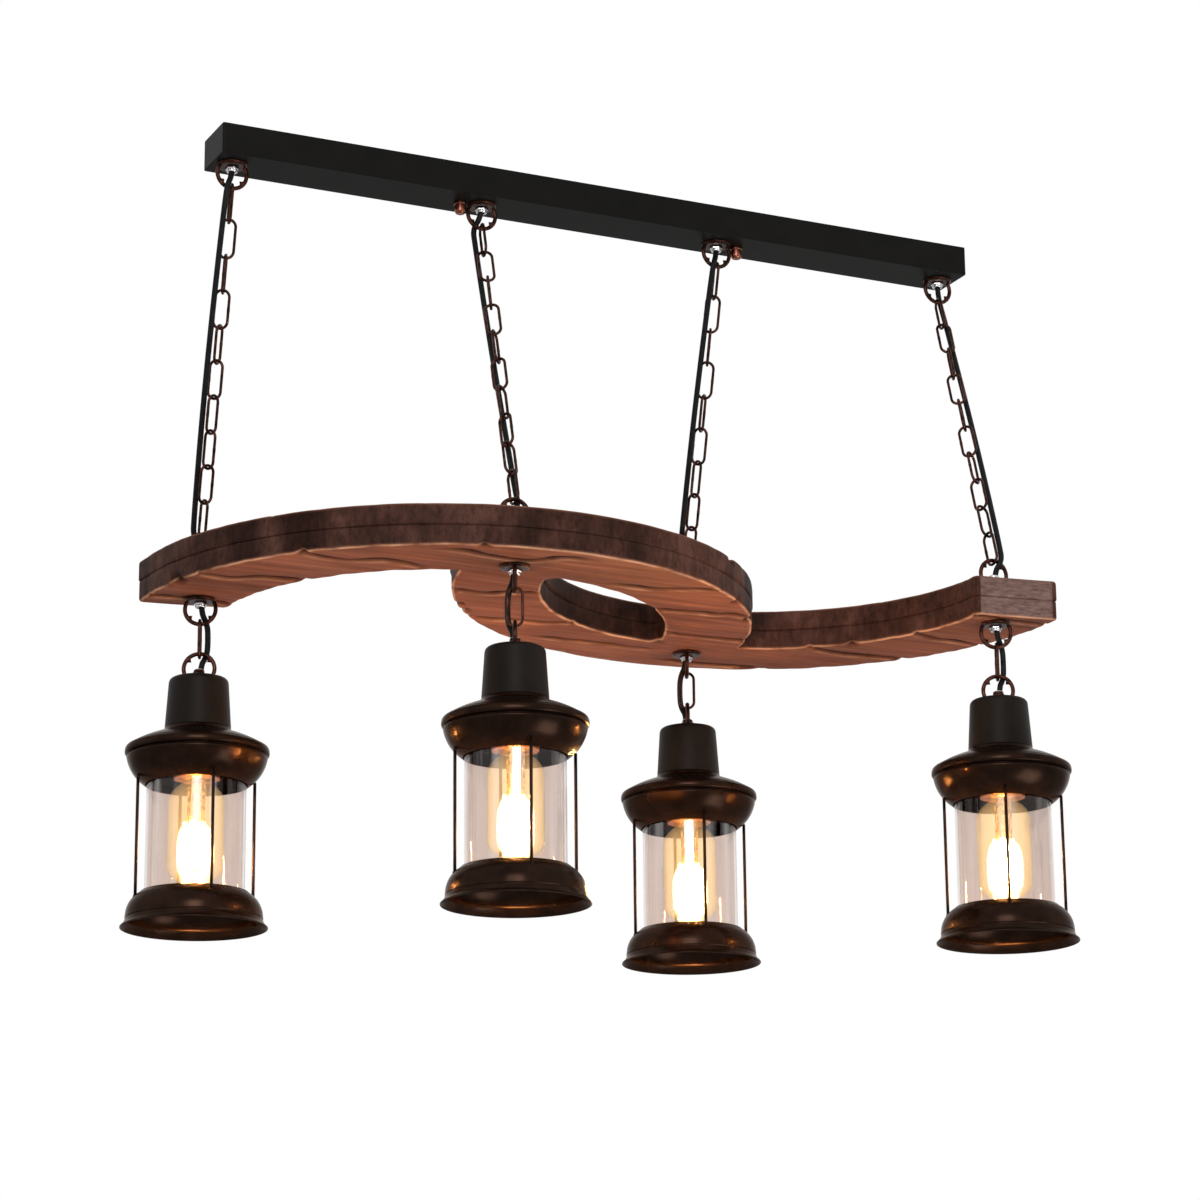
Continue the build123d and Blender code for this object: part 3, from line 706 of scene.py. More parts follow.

# %% [markdown]
# ## The board: cracks
# The maker carved long wavy cracks into the wood, and some run out through the edge as small chips.
# Each crack is a listed line on the underside. Displacement in the shader would not show at the
# outline, so the cracks are cut into the mesh: a narrow groove with a soft hollow on one side.

# %% Cracks
crack_lines = [
    [
        (-341, -76), (-317, -66), (-297, -66), (-281, -71),
        (-267, -79), (-252, -82), (-237, -79), (-214, -70),
    ],
    [(-406, 28), (-387, 31), (-369, 34), (-358, 26), (-347, 18), (-330, 16), (-317, 15), (-296, 10)],
    [(-424, 120), (-404, 117), (-385, 114), (-353, 117), (-334, 119)],
    [
        (-223, -138), (-204, -138), (-179, -132), (-159, -129), (-138, -130),
        (-125, -143), (-115, -152), (-98, -155), (-79, -155),
    ],
    [(-32, -91), (-8, -88), (11, -90), (27, -96), (43, -105), (66, -110)],
    [(33, -22), (54, -26), (73, -29), (91, -30), (107, -29), (114, -38), (128, -36), (150, -29)],
    [(83, 48), (106, 52), (129, 51), (152, 49), (171, 49), (190, 47)],
    [(-172, -12), (-152, -13), (-135, -12), (-124, -14), (-113, -23), (-98, -29), (-78, -34)],
    [(-121, 66), (-99, 72), (-80, 69), (-57, 64), (-37, 65), (-21, 56), (-7, 53), (4, 54)],
    [(-20, 113), (6, 115), (31, 112), (57, 113), (81, 114), (109, 112)],
    [(131, 145), (160, 150), (186, 147), (219, 142), (250, 142)],
    [(240, 42), (266, 51), (290, 55), (312, 53), (333, 50), (366, 50)],
    [(305, -50), (328, -41), (349, -34), (368, -35), (385, -31), (406, -30)],
    [(330, -125), (349, -128), (367, -127), (388, -122), (422, -126)],
]
small_chip, large_chip = 4.6, 8.0
upper_chips = [(88, -95, small_chip)]
chip_places = [(-196, -162), (277, 13), (-142, 33), (-127, 50)]
chip_places += [(103, -80), (-339, -74), (99, 83), (146, -26)]
under_chips = [(-414, 60, large_chip)] + [(x, y, small_chip) for x, y in chip_places]
crack_spacing = 2.2


def smoothed(line, rounds=2):
    """Corner cutting: each step becomes two points at a quarter and three quarters of it."""
    line = np.asarray(line, float)
    for _ in range(rounds):
        first, last = line[:-1], line[1:]
        inner = np.stack([0.75 * first + 0.25 * last, 0.25 * first + 0.75 * last], 1)
        line = np.concatenate([line[:1], inner.reshape(-1, 2), line[-1:]])
    steps = np.concatenate([[0], np.cumsum(np.linalg.norm(np.diff(line, axis=0), axis=1))])
    at = np.linspace(0, steps[-1], int(steps[-1] / crack_spacing))
    return np.stack([np.interp(at, steps, line[:, 0]), np.interp(at, steps, line[:, 1])], -1)


def room_at(points):
    """How far a flat point lies inside the board: the larger of its depths in the two half rings."""
    depths = []
    for side in (-1, 1):
        off = side * (points - side * arc_centre)
        radius = np.linalg.norm(off, axis=1)
        past = np.where(off[:, 0] > 0, inner_reach + end_skew * (off[:, 0] - arc_inner), 0)
        depths.append(np.minimum(np.minimum(arc_outer - radius, radius - arc_inner), off[:, 1] + past))
    return np.maximum(*depths)


def carved(points, lines, seed, width):
    """Depth cut into a face at flat points, and marks from 0 to 1 for the painted shade of the groove and
    for a painted highlight on its lip. With d the way across a crack over its width, the depth is
    4 exp(-d^2), and on its right side a dip of 1.5 exp(-(d/5)^2); both wax and wane along the crack. The
    shade is darkest in the groove and reaches a little way over the dip, whose slope lies in shade. The
    lip is a narrow band to the left, the crack's far wall, which catches the light. The whole face is
    sanded down by 0.4, with low waves along the grain."""
    groove_depth, dip_depth, sanded = 4.0, 1.5, 0.4
    draw = np.random.default_rng(seed)
    depth, mark, lip = np.zeros((3, len(points)))
    for line in lines:
        offset = points[:, None] - line[None]
        away = np.linalg.norm(offset, axis=2)
        nearest = away.argmin(1)
        distance = away.min(1) / width
        tangent = np.gradient(line, axis=0)[nearest]
        near = np.take_along_axis(offset, nearest[:, None, None], 1)[:, 0]
        right = tangent[:, 0] * near[:, 1] - tangent[:, 1] * near[:, 0] < 0
        share = nearest / (len(line) - 1)
        swell = np.interp(share, np.linspace(0, 1, 9), draw.uniform(0.5, 1.0, 9))
        inside = (0.25 + 0.75 * np.clip(np.minimum(share, 1 - share) / 0.15, 0, 1)) * swell
        groove = np.exp(-(distance**2))
        dip = right * np.exp(-((distance / 5.0) ** 2))
        depth = np.maximum(depth, inside * (groove_depth * groove + dip_depth * dip))
        # Painted shade: near black in the groove, with a fainter band over the dip's slope, which lies in
        # shade.
        dark = np.exp(-((distance / 0.87) ** 2)) + 0.3 * right * np.exp(-((distance / 2.6) ** 2))
        mark = np.maximum(mark, 1.35 * inside * dark)
        # Painted highlight: a light band on the lip, the crack's far wall, which catches the light.
        lip = np.maximum(lip, inside * ~right * np.exp(-(((distance - 2.0) / 0.8) ** 2)))
    x, y = points.T
    waves = 0.16 * np.sin(y / 2.3 + 1.7 * np.sin(x / 47.0) + x / 90.0)
    waves += 0.22 * np.sin(y / 5.1 + 1.1 * np.sin(x / 83.0 + 1.0))
    return depth + sanded + waves, np.clip(mark, 0, 1), np.clip(lip, 0, 1)


under_cracks = [smoothed(line) for line in crack_lines]
over_cracks = [-line[::-1] for line in under_cracks]
print("cracks:", len(under_cracks), "on each face,", len(under_chips), "chips below")

# %% [markdown]
# ## The board: two planks
# Each plank is a carved face, a flat glued face and the wall between them. The wall is a grid: the
# edge loop carried up through rows that round off the worn corner. The faces are triangulated from
# scattered points with the loop as a fixed edge, because one grid cannot fit an S with a slot in it.

# %% Planks
def loop_normals(loop):
    """Outward unit normals of a loop with the wood on its left."""
    ahead = np.roll(loop, -1, 0) - np.roll(loop, 1, 0)
    ahead /= np.linalg.norm(ahead, axis=1)[:, None]
    return np.stack([ahead[:, 1], -ahead[:, 0]], -1)


def rough_edge(loop, seed):
    """The sawn edge's slow and quick wander: four random waves added up, as inward steps along a
    loop. They are small at the board's corners."""
    draw = np.random.default_rng(seed)
    mean_step, corner_reach = 0.7, 20.0
    s = np.arange(len(loop)) * edge_spacing
    total = s[-1] + edge_spacing
    steps = np.zeros(len(loop))
    for wave, size in ((140, 0.5), (46, 0.35), (17, 0.25), (7, 0.16)):
        count = max(3, int(total / wave))
        knots = draw.uniform(-1, 1, count)
        steps += size * np.interp(s, np.linspace(0, total, count + 1), np.append(knots, knots[0]))
    from_corner = np.linalg.norm(loop[:, None] - corner_places[None], axis=2).min(1)
    calm = np.clip(from_corner / corner_reach, 0.1, 1)
    return (mean_step + np.maximum(steps, -mean_step)) * calm


def face_points(lines, margin):
    """Points inside the board: a triangular lattice, left out near the cracks, and rows beside each
    crack."""
    pitch = 4.6
    half_offsets = np.array((1.7, 3.5, 5.5, 8.0, 11.0))
    crack_offsets = np.concatenate([-half_offsets[::-1], [0.0], half_offsets])[:, None, None]
    x, y = np.meshgrid(np.arange(-424, 424, pitch), np.arange(-180, 180, pitch * 0.866))
    x = x + (np.arange(x.shape[0])[:, None] % 2) * pitch / 2
    lattice = np.stack([x.ravel(), y.ravel()], -1)
    lattice = lattice[room_at(lattice) > margin + 1]
    rows = []
    for line in lines:
        ahead = np.gradient(line, axis=0)
        side = np.stack([-ahead[:, 1], ahead[:, 0]], -1) / np.linalg.norm(ahead, axis=1)[:, None]
        rows.append((line[None] + crack_offsets * side[None]).reshape(-1, 2))
        near = np.linalg.norm(lattice[:, None] - line[None, ::2], axis=2).min(1)
        lattice = lattice[near > 12.5]
    rows = np.concatenate(rows)
    return np.concatenate([lattice, rows[room_at(rows) > margin]])


def within(points, loop):
    """Which flat points lie in a loop: a level ray from one crosses the loop an odd number of times."""
    ahead = np.roll(loop, -1, 0)
    x, y = points[:, :1], points[:, 1:]
    spans = (loop[:, 1] > y) != (ahead[:, 1] > y)
    climb = np.where(ahead[:, 1] == loop[:, 1], 1e-9, ahead[:, 1] - loop[:, 1])
    slope = (ahead[:, 0] - loop[:, 0]) / climb
    return (spans & (x < loop[:, 0] + (y - loop[:, 1]) * slope)).sum(1) % 2 == 1


def triangles(edge, inside):
    """Triangles between the two edge loops' points and the points inside them, as index triples."""
    constraint, first = [], 0
    for loop in edge:
        at = np.arange(len(loop))
        constraint.append(np.stack([first + at, first + (at + 1) % len(loop)], -1))
        first += len(loop)
    points = np.concatenate([*edge, inside])
    found = delaunay_2d_cdt(points.tolist(), np.concatenate(constraint).tolist(), [], 2, 1e-4)
    source = np.array([same[0] for same in found[3]])
    tris = source[np.array(found[2])]
    return tris[~within(points[tris].mean(1), edge[1])]


def plank(name, floor, rows, carved_row, lines, width, chips, seed, nodes):
    """One plank from rows of (inset, rise, wear) up its wall; carved_row, 0 or -1, bounds its carved
    face. A chip is a hollow exp(-(d/size)^2) round its place; chips and cracks fade up the wall."""
    chip_inset, chip_rise, crack_inset, edge_share = 4.2, 4.6, 0.9, 0.25
    fade_height, band_height, face_margin = 5.0, 2.2, 9.0
    edge = []
    for k, loop in enumerate(loops):
        edge.append(loop - loop_normals(loop) * rough_edge(loop, seed + k)[:, None])
    sharp = np.concatenate(edge)
    outward = np.concatenate([loop_normals(loop) for loop in edge])
    chips = np.array(chips)
    spots = np.linalg.norm(sharp[:, None] - chips[None, :, :2], axis=2) / chips[:, 2]
    chip = np.exp(-(spots.min(1) ** 2))
    edge_depth, edge_mark, _ = carved(sharp - 2.0 * outward, lines, seed, width)
    if carved_row:
        edge_depth, edge_mark = edge_share * edge_depth, edge_share * edge_mark
    up = 1 if carved_row == 0 else -1
    height = rows[-1][1]
    wall, rises, groove_shade_rows = [], [], []
    for inset, rise, _ in rows:
        from_face = rise if up > 0 else height - rise
        fade = np.exp(-((from_face / fade_height) ** 2))
        notch_in = inset + (chip_inset * chip + crack_inset * edge_mark) * fade
        wall.append(sharp - outward * notch_in[:, None])
        rises.append(rise + up * (edge_depth + chip_rise * chip) * fade)
        # Painted shade on the wall: where a crack meets the edge it runs dark down the wall, and each
        # chip's hollow is painted dark.
        groove_shade_rows.append(np.maximum(edge_mark * np.clip(1 - 0.4 * from_face, 0.1, 1), chip * fade))
    inside = face_points(lines, face_margin)
    counts = np.cumsum([0] + [len(loop) for loop in edge])
    bounds = [wall[carved_row][a:b] for a, b in zip(counts, counts[1:])]
    tris = triangles(bounds, inside)
    depth, mark, lip = carved(inside, lines, seed, width)
    face_rise = (0 if up > 0 else height) + up * depth
    flat_rise = height if up > 0 else 0
    around = len(sharp)
    points = [np.column_stack((flat, rise)) for flat, rise in zip(wall, rises)]
    points.append(np.column_stack((inside, face_rise)))
    points.append(np.column_stack((inside, np.full(len(inside), flat_rise))))
    quads = []
    for a, b in zip(counts, counts[1:]):
        column = np.arange(a, b)
        beside = np.append(column[1:], a)
        base = np.arange(len(rows) - 1)[:, None] * around
        above = base + around
        corners = [base + column, base + beside, above + beside, above + column]
        quads.append(np.stack(corners, -1).reshape(-1, 4))
    carved_start = 0 if carved_row == 0 else (len(rows) - 1) * around
    flat_start = (len(rows) - 1) * around if carved_row == 0 else 0
    body = len(rows) * around
    carved_faces = np.where(tris < around, tris + carved_start, tris - around + body)
    flat_faces = np.where(tris < around, tris + flat_start, tris - around + body + len(inside))
    if up > 0:
        carved_faces = carved_faces[:, ::-1]
    else:
        flat_faces = flat_faces[:, ::-1]
    faces = np.concatenate(quads).tolist() + carved_faces.tolist() + flat_faces.tolist()
    from_face = [rise if up > 0 else height - rise for _, rise, _ in rows]
    share = np.clip(np.array(from_face) / band_height, 0, 1)
    ends = np.concatenate(end_marks)
    blank = np.zeros(len(inside))
    wall_wear = [np.full(around, worn) for _, _, worn in rows]
    # Painted shade: the walls round the slot get half the tone of the outer walls.
    slot_shade = np.concatenate([np.full(len(loop), level) for loop, level in zip(loops, (1.0, 0.5))])
    attributes = {
        "tone": np.concatenate([slot_shade] * len(rows) + [blank, blank]),
        # groove: painted shade in the cracks and in the chips' hollows
        "groove": np.concatenate(groove_shade_rows + [mark, blank]),
        # wear: the worn lower edge on the walls, and on the faces a painted highlight on each crack's lip
        "wear_and_lip_highlight": np.concatenate(wall_wear + [0.7 * lip, blank]),
        "side": np.concatenate([np.full(around, s) for s in share] + [blank, blank]),
        "end_grain": np.concatenate([ends] * len(rows) + [blank, blank]),
    }
    points = np.concatenate(points) + (0, 0, floor)
    piece(name, (points, faces), "board", "board_wood", nodes, attributes=attributes)
    print(name, "has", len(points), "points and", len(faces), "faces")


# %% [markdown]
# ## The board: wood finish
# The faces are a reddish brown with grain along the board, lighter where hands and sanding wore the
# edges. Painted shade makes the cracks nearly black, and the chips in the edge too, and a painted
# highlight lies on each crack's lip. The sawn walls are dark walnut with upright blotches, pits and
# scratches, and a painted shade makes them darkest in the slot. A painted image could do this, but
# noise needs no unwrapping and has no seams. The mesh carries five marks per point (groove, wear, side,
# tone and end grain) that steer the mix.

# %% Wood
def mark_socket(tree, name):
    """A point mark of the mesh as a socket."""
    return node(tree, "Attribute", attribute_name=name).outputs["Fac"]


material, tree, shader = new_finish("stained_wood", Specular_IOR_Level=0.06)
long_grain = noise(tree, 30.0, (0.25, 4.0, 4.0), 6.0, 0.6)
fibre = noise(tree, 160.0, (0.1, 5.0, 5.0), 4.0, 0.6)
cloud = noise(tree, 9.0, (0.6, 1.6, 1.0), 3.0)
stain = [(0.25, (0.155, 0.051, 0.028)), (0.5, (0.226, 0.08, 0.045)), (0.75, (0.32, 0.122, 0.07))]
face = ramp(tree, long_grain, stain)
face = dimmed(tree, face, fibre, [(0.3, (0.68, 0.64, 0.62)), (0.62, 1.05)], 0.75)
face = dimmed(tree, face, cloud, [(0.3, (0.62, 0.58, 0.56)), (0.7, (1.15, 1.13, 1.12))])
blotch = noise(tree, 26.0, (1.0, 1.0, 0.55), 6.0, 0.68)
patch = noise(tree, 13.0, (1.0, 1.0, 0.3), 2.0, 0.4)
pitted = noise(tree, 170.0, (1.0, 1.0, 0.6), 6.0, 0.75)
streak = noise(tree, 260.0, (1.0, 1.0, 0.1), 3.0, 0.7)
walnut = [(0.28, (0.016, 0.0066, 0.0045)), (0.5, (0.053, 0.0215, 0.0152)), (0.72, (0.108, 0.049, 0.036))]
wall = ramp(tree, blotch, walnut)
wall = dimmed(tree, wall, patch, [(0.38, (0.33, 0.3, 0.29)), (0.47, 1.0)])
wall = dimmed(tree, wall, pitted, [(0.38, (0.4, 0.37, 0.35)), (0.52, 1.1)], 0.6)
wall = dimmed(tree, wall, streak, [(0.34, (0.62, 0.6, 0.58)), (0.66, (1.25, 1.22, 1.2))], 0.35)
# The tone mark multiplies the wall colour: a painted shade that halves it round the slot.
tone = node(tree, "Attribute", attribute_name="tone").outputs["Color"]
wall = mixed(tree, 1.0, wall, tone, "MULTIPLY")
ends = noise(tree, 120.0, (1, 1, 3.0), 5.0)
end_tone = ramp(tree, ends, [(0.3, (0.095, 0.054, 0.045)), (0.7, (0.215, 0.132, 0.112))])
wall = mixed(tree, mark_socket(tree, "end_grain"), wall, end_tone)
wood = mixed(tree, mark_socket(tree, "side"), face, wall)
patchy = ramp(tree, noise(tree, 45.0, (0.6, 1, 1), 4.0), [(0.35, 0.12), (0.6, 0.95)])
# The wear mark, times patchy noise, gives bare wood on the worn lower edge and a painted highlight on
# each crack's lip.
worn = node(tree, "Math", {0: mark_socket(tree, "wear_and_lip_highlight"), 1: patchy}, operation="MULTIPLY").outputs[0]
bare_wood_and_highlight, painted_crack_shade = (0.62, 0.33, 0.2), (0.008, 0.004, 0.003)
wood = mixed(tree, worn, wood, bare_wood_and_highlight)
# The groove mark paints near-black shade into the cracks and chips.
wood = mixed(tree, mark_socket(tree, "groove"), wood, painted_crack_shade)
put(tree, shader.inputs["Base Color"], wood)
put(tree, shader.inputs["Roughness"], ramp(tree, fibre, [(0.3, 0.5), (0.7, 0.68)]))
bumped(tree, shader, mixed(tree, mark_socket(tree, "side"), fibre, streak), 0.45, 0.0005)
finish["board_wood"] = material

lower_inset = 0.8
edge_rows = [(3.6, 0, 0), (2.4, 0.1, 0.35), (1.6, 0.4, 1), (0.8, 1.0, 0.9), (0.3, 1.8, 0.1)]
edge_rows += [(0, rise, 0) for rise in (3.4, 6.0, 9.0, 12.0, 15.0, 18.4)]
edge_rows += [(0.4, 19.4, 0), (1.2, 20, 0)]
lower_rows = [(inset + lower_inset, rise, worn) for inset, rise, worn in edge_rows]
upper_rows = [(inset, plank_thick - rise, 0.3 * worn) for inset, rise, worn in edge_rows[::-1]]
for label, foot, rows, carved_row, lines, width, chips, seed in (
    ("board_lower", board_under, lower_rows, 0, under_cracks, 2.7, under_chips, 11),
    ("board_upper", board_seam, upper_rows, -1, over_cracks, 1.9, upper_chips, 23),
):
    plank(label, foot, rows, carved_row, lines, width, chips, seed, [f"{label}_plank"])

# %% [markdown]
# ## Glass and light
# The chimney is clear glass, so it is mostly see-through, with reflections that grow towards its
# edges and stand in upright streaks. A mix of a faintly tinted Transparent shader and a mirror,
# steered by Layer Weight, lets the lamp's light straight through; real refraction would need many
# more samples. The bulb's inside glows amber, and a brighter halo stands round the filament, as a lit
# lamp leaves in a photograph.

# %% Glass and filament
def thin_glass(name, tint, gloss, streaks, rough=0.03):
    """Thin clear glass: tinted see-through, with a mirror's share of gloss facing^5 + 0.02, where
    facing goes to 1 at grazing angles, and more of it in upright streaks."""
    plain = 0.02
    mirror = {"Roughness": rough, "Base_Color": (0.9, 0.9, 0.9, 1), "Metallic": 1.0}
    material, tree, shader = new_finish(name, **mirror)
    clear = node(tree, "BsdfTransparent", {"Color": (*tint, 1)}).outputs[0]
    edge = node(tree, "LayerWeight", {"Blend": 0.5}).outputs["Facing"]
    edge = node(tree, "Math", {0: edge, 1: 5.0}, operation="POWER").outputs[0]
    uneven = noise(tree, 75.0, (1, 1, 0.03), 1.0)
    bands = ramp(tree, uneven, [(0.5, plain), (0.68, plain + streaks)])
    share = node(tree, "Math", {0: edge, 1: gloss, 2: bands}, operation="MULTIPLY_ADD").outputs[0]
    glass = node(tree, "MixShader", {0: share, 1: clear, 2: shader.outputs[0]}).outputs[0]
    put(tree, tree.nodes["Material Output"].inputs["Surface"], glass)
    return material


def filled(material, colour, strength):
    """A glow inside a material's closed surface: the longer a line through it, the brighter."""
    tree = material.node_tree
    glow = node(tree, "Emission", {"Color": (*colour, 1), "Strength": strength}).outputs[0]
    put(tree, tree.nodes["Material Output"].inputs["Volume"], glow)


finish["clear_glass"] = thin_glass("chimney_glass", (0.9, 0.845, 0.815), 0.8, 0.16)
finish["bulb_glass"] = thin_glass("amber_bulb_glass", (0.99, 0.955, 0.81), 0.5, 0.0)
filled(finish["bulb_glass"], (1.0, 0.68, 0.33), 15.0)
hot = {"Emission_Color": (1.0, 0.6, 0.24, 1), "Emission_Strength": 430.0}
finish["filament"] = new_finish("hot_filament", **hot)[0]
# Painted glow: the mount and its stem are no lamp, but they glow faintly, with painted glints where the
# noise runs high, as wires lit by the filament.
lit = {"Base_Color": (0.08, 0.034, 0.008, 1), "Emission_Strength": 0.9}
finish["mount"], tree, shader = new_finish("mount_painted_glow", **lit)
painted_glints = [(0.42, (0.2, 0.075, 0.014)), (0.58, (1.0, 0.64, 0.2))]
put(tree, shader.inputs["Emission Color"], ramp(tree, noise(tree, 300.0, detail=3.0), painted_glints))
skin = {"Emission_Color": (1.0, 0.8, 0.45, 1), "Emission_Strength": 2.0}
finish["halo"], tree, shader = new_finish("lamp_halo", **skin)
clear = node(tree, "BsdfTransparent").outputs[0]
faint = node(tree, "MixShader", {0: 0.08, 1: clear, 2: shader.outputs[0]}).outputs[0]
put(tree, tree.nodes["Material Output"].inputs["Surface"], faint)
filled(finish["halo"], (1.0, 0.78, 0.4), 52.0)
pale = {"Base_Color": (0.62, 0.6, 0.56, 1), "Roughness": 0.5}
finish["bushing"] = new_finish("pale_bushing", **pale)[0]
print("glass:", [finish[label].name for label in ("clear_glass", "bulb_glass")])

# %% [markdown]
# ## Lantern shapes
# A lantern is spun and pressed sheet metal: a tall cap, a shade with a rolled bead and a bowl under
# it, and a flared base, with a glass tube between them. Each is one profile turned on a lathe. The
# heights are measured down from the cap's top.

# %% Lantern profiles
cap_rows = [(31.2, -51.0, 0.4), (27.8, 0.0, 5.4), (5.15, 0.0, 0.2)]
cap_rows += [(5.15, -1.2, 0.2), (26.4, -1.2, 4.2), (30.0, -51.0, 0.3)]
cap_shape = lathe(rounded(cap_rows, 8))

shade_parts = [
    [(31.0, -48.4), (31.5, -50.0), (32.5, -51.6), (34.0, -52.8)],
    bow((36.0, -53.8), (61.6, -64.5), 0.9, 14),
    [(62.2, -65.0), (62.5, -65.6), (63.2, -65.75)],
    bow((64.0, -65.9), (67.4, -70.4), 1.0, 7),
    [(67.5, -72.0), (67.2, -73.3), (66.2, -74.0), (64.4, -74.3)],
    [(63.5, -74.9), (63.5, -75.6), (64.6, -76.0)],
    bow((65.8, -76.3), (49.0, -102.0), 3.2, 18),
    [(48.5, -102.5), (47.8, -102.5), (47.5, -102.0)],
    bow((47.6, -101.4), (62.9, -77.4), -2.9, 16),
    [(62.3, -75.4), (62.7, -74.0), (65.0, -73.3), (65.8, -71.0), (63.4, -67.3), (61.0, -66.0)],
    [(35.4, -55.2), (33.0, -53.9), (31.3, -52.6), (30.7, -51.4)],
]
shade_shape = lathe(np.concatenate(shade_parts), columns=128)

base_parts = [
    [(48.9, -204.5), (49.4, -203.9), (50.1, -204.1)],
    bow((50.6, -204.9), (63.7, -227.6), 3.6, 16),
    [(63.9, -228.3), (63.6, -228.9), (63.2, -229.6), (63.5, -230.2)],
    bow((64.0, -230.9), (67.9, -236.2), -0.6, 8),
    [(68.3, -236.8), (68.2, -237.4), (67.6, -237.5), (66.8, -236.9)],
    [(62.2, -230.4), (61.9, -229.6), (62.3, -228.4)],
    bow((62.4, -227.6), (56.2, -212.2), -1.4, 8),
    [(43.3, -212.2), (43.3, -211.0), (55.4, -211.0)],
]
base_shape = lathe(np.concatenate(base_parts), columns=128)

glass_rows = [(46.5, -211.0, 0.7), (46.5, -89.0, 0.8), (44.0, -89.0, 0.8), (44.0, -211.0, 0.7)]
glass_shape = lathe(rounded(glass_rows))
socket_rows = [(13.6, -69.0, 0.2), (13.6, -97.0, 0.3), (21.75, -97.0, 0.9), (21.75, -92.5, 0.7)]
socket_rows += [(20.0, -92.2, 0.2), (20.0, -54.0, 2.0), (5.0, -54.0, 0.2), (5.0, 6.0, 0.2)]
socket_rows += [(3.25, 6.0, 0.2), (3.25, -69.0, 0.2)]
socket_shape = lathe(rounded(socket_rows), columns=64)

bulb_parts = [
    [(0.6, -196.4), (3.2, -196.3), (6.0, -195.9)],
    bow((8.0, -195.4), (26.1, -182.4), -3.6, 14),
    [(26.3, -180.5), (26.3, -150.0), (26.3, -118.0)],
    bow((26.0, -115.4), (14.6, -101.6), -1.6, 10),
    [(13.5, -99.5), (13.2, -97.3)],
]
bulb_shape = lathe(np.concatenate(bulb_parts), columns=72, closed=False)
thread, thread_pitch = np.linspace(-97.3, -72.0, 60), 3.6
shell_rows = np.column_stack((12.6 + 0.55 * np.sin(2 * np.pi * thread / thread_pitch), thread))
shell_end = [(8.0, -70.4), (4.5, -69.8), (0.5, -69.8)]
shell_rows = np.concatenate([[(0.5, -97.3)], shell_rows, shell_end])
shell_shape = lathe(shell_rows, columns=48, closed=False)
print("lantern profiles:", len(shade_parts) + len(base_parts) + len(bulb_parts), "runs")

# %% [markdown]
# ## Stays and filament
# Four wires stand on the base and end in the bowl's wall, each with a flattened tip. The bulb's
# filament is a long zigzag, hung by a second one, its mount, from a stem. The height is a clipped
# cosine of the step number, so the legs are nearly straight with round turns, while the angle goes
# once round.

# %% Stays and filament
stay_turn = (86.6, 80.0, 78.1, 61.0)
stay_radius, stay_wire = 56.25, 3.0
head_drop, foot_lift = (0, 0, -1.6), (0, 0, 0.6)
stay_heights = np.linspace(-211.2, -96.0, 9)[:, None]
head_rows = [(0.3, -1.2), (1.9, -0.9), (2.3, 0.0), (1.9, 0.9), (0.3, 1.2)]
head = lathe(head_rows, columns=20, closed=False)


def stays_shape(first_turn):
    """Four upright wires with a flattened top and a small foot, a quarter turn apart."""
    parts = []
    for quarter in range(4):
        out = across(first_turn + 90 * quarter)
        path = stay_radius * out + stay_heights * lift
        parts.append(tube(path, stay_wire / 2, 14))
        parts.append(moved(head, np.cross(out, up_axis), out, path[-1] + head_drop))
        parts.append(moved(head, out, up_axis, path[0] + foot_lift))
    return joined(*parts)


def zigzag(radius, low, high, legs, wire):
    """A wire that goes once round the axis in upright legs: the height is a clipped cosine of the step
    number between low and a top that rises and falls from leg to leg."""
    u = np.linspace(0, legs - 0.3, 30 * legs)
    angle = 2 * np.pi * u / legs
    share = (1 - np.clip(1.25 * np.cos(np.pi * u), -1, 1)) / 2
    top = high - 3.5 * (1 + np.sin(2.6 * u))
    path = np.stack([radius * np.cos(angle), radius * np.sin(angle), low + share * (top - low)], -1)
    return tube(path, wire, 8)


filament = zigzag(10.6, -182.0, -139.0, 14, 1.3)
mount = zigzag(7.5, -146.0, -101.0, 12, 0.8)
halo_rows = [(0.3, -193.5), (7.5, -192.4), (13.0, -189.0), (16.2, -183.0), (17.2, -174.0), (17.2, -162.0)]
halo_rows += [(16.4, -152.0), (14.0, -144.0), (9.0, -139.0), (0.3, -137.0)]
halo = lathe(halo_rows, columns=40, closed=False)
stem_rows = [(0.3, -185.0), (1.8, -184.0), (2.2, -120.0), (4.5, -112.0), (6.5, -99.0), (6.5, -97.4)]
stem = lathe(stem_rows, columns=24, closed=False)
print("filament points:", len(filament[0]))

# %% [markdown]
# ## Four lanterns
# The same shapes are set down at the four hooks. Each lantern's pieces ride on its own body, and its
# bulb on a body of its own, since a bulb turns in its lampholder.

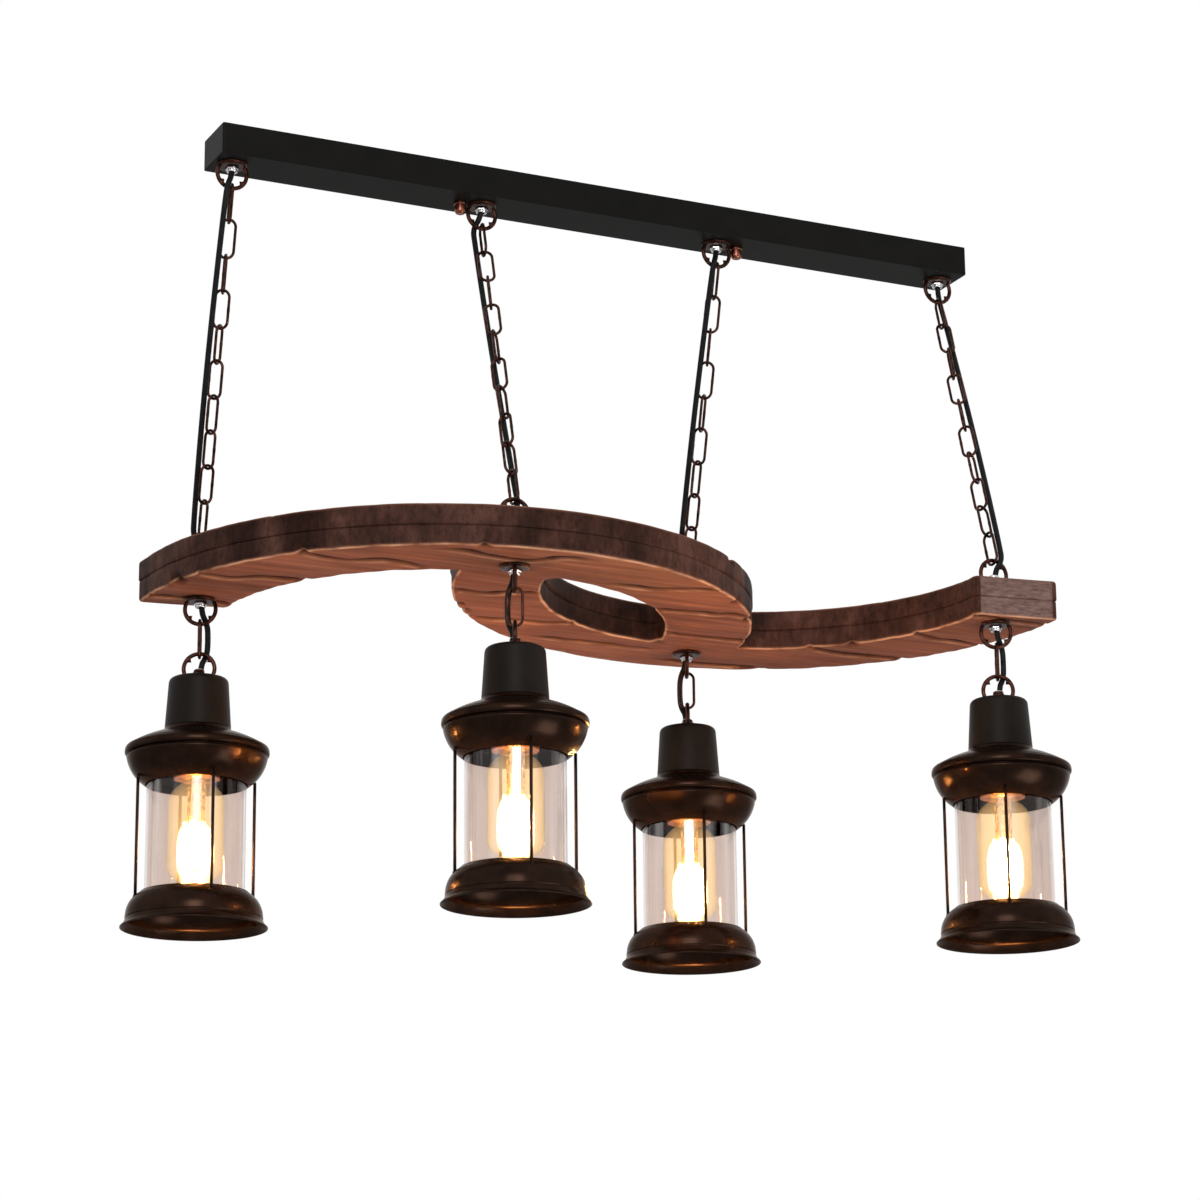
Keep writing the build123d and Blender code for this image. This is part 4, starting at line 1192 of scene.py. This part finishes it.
# %% Lanterns
nut = moved(gland, z=down_axis, place=(0, 0, flange_thick))
ring_and_nut = joined(moved(hook, z=down_axis), nut)
nose_top = gland_height + flange_thick
bushing_rows = [(2.85, -0.8), (3.7, -0.6), (3.6, 0.7), (2.85, 0.9)]
bushing_shape = lathe(bushing_rows, (0, 0, nose_top), columns=32)
for (x, y), n, turn, first_turn in zip(hooks, numbers, ring_turn, stay_turn):
    body, bulb, place = f"lantern_{n}", f"bulb_{n}", (x, y, cap_top)
    for label, shape, slot, node_end, coat in (
        ("ring", moved(ring_and_nut, across(turn)), "bronze_chain", "loop", None),
        ("bushing", bushing_shape, "bronze_chain", "loop", "bushing"),
        ("cap_shown", cap_shape, "cap_black", "cap", None),
        ("shade_shown", shade_shape, "lantern_bronze", "shade", None),
        ("socket_shown", socket_shape, "socket_brass", "socket", None),
        ("glass_shown", glass_shape, "clear_glass", "glass", None),
        ("base_shown", base_shape, "lantern_bronze", "base", None),
        ("stays_shown", stays_shape(first_turn), "lantern_bronze", "stays", None),
    ):
        set_down = moved(shape, place=place)
        piece(f"{body}_{label}", set_down, body, slot, [f"{body}_{node_end}"], coat)
    for label, shape, slot, coat in (
        ("envelope", bulb_shape, "bulb_glass", None),
        ("shell", shell_shape, "bulb_base", None),
        ("filament", filament, "bulb_base", "filament"),
        ("mount", joined(mount, stem), "bulb_base", "mount"),
        ("halo", halo, "bulb_base", "halo"),
    ):
        piece(f"{bulb}_{label}", moved(shape, place=place), bulb, slot, [f"{body}_{slot}"], coat)
print("lanterns:", len(hooks))

# %% [markdown]
# ## Studio
# The photograph has a plain white ground. The world is white to the camera and to mirrors and softer
# to diffuse rays, so that the light on the object can be set by itself. Two large soft lamps do the
# rest: a key from the front left, and a fill from the front right and below. The floor lies well under
# the lanterns and only catches a faint shadow.

# %% Light and floor
world = bpy.data.worlds.new("studio")
bpy.context.scene.world = world
world.use_nodes = True
tree = world.node_tree
ray = node(tree, "LightPath").outputs
seen = ray["Is Camera Ray"]
for other in ("Is Transmission Ray", "Is Glossy Ray"):
    seen = node(tree, "Math", {0: seen, 1: ray[other]}, operation="MAXIMUM").outputs[0]
power = node(tree, "MapRange", {"Value": seen, "To Min": 0.55, "To Max": 1.0})
put(tree, tree.nodes["Background"].inputs["Strength"], power.outputs["Result"])
tree.nodes["Background"].inputs["Color"].default_value = (1, 1, 1, 1)


def soft_light(name, place, target, size, watts):
    """A square area light at a place, facing a target."""
    made = bpy.data.objects.new(name, bpy.data.lights.new(name, "AREA"))
    made.data.size, made.data.energy = size, watts
    back = unit(np.subtract(place, target))
    right = unit(np.cross((0, 0, 1), back))
    turned = np.column_stack((right, np.cross(back, right), back))
    made.matrix_world = Matrix.Translation(place) @ Matrix(turned.tolist()).to_4x4()
    bpy.context.scene.collection.objects.link(made)


part_middle = (0, 0, -0.4)
soft_light("key", (-1.3, -2.6, 0.3), part_middle, 1.2, 36.0)
soft_light("fill", (1.2, -1.9, -2.1), part_middle, 1.4, 30.0)

floor_finish = new_finish("pale_floor", Base_Color=(0.94, 0.94, 0.94, 1), Roughness=0.9)[0]
floor_mesh = bpy.data.meshes.new("floor")
spread, floor_height = 80.0, -4.2
corners = [(-spread, -spread), (spread, -spread), (spread, spread), (-spread, spread)]
floor_mesh.from_pydata([(x, y, floor_height) for x, y in corners], [], [(0, 1, 2, 3)])
floor_mesh.materials.append(floor_finish)
floor = bpy.data.objects.new("floor", floor_mesh)
bpy.context.scene.collection.objects.link(floor)
print("studio: 2 lamps, floor at", floor_height, "m")
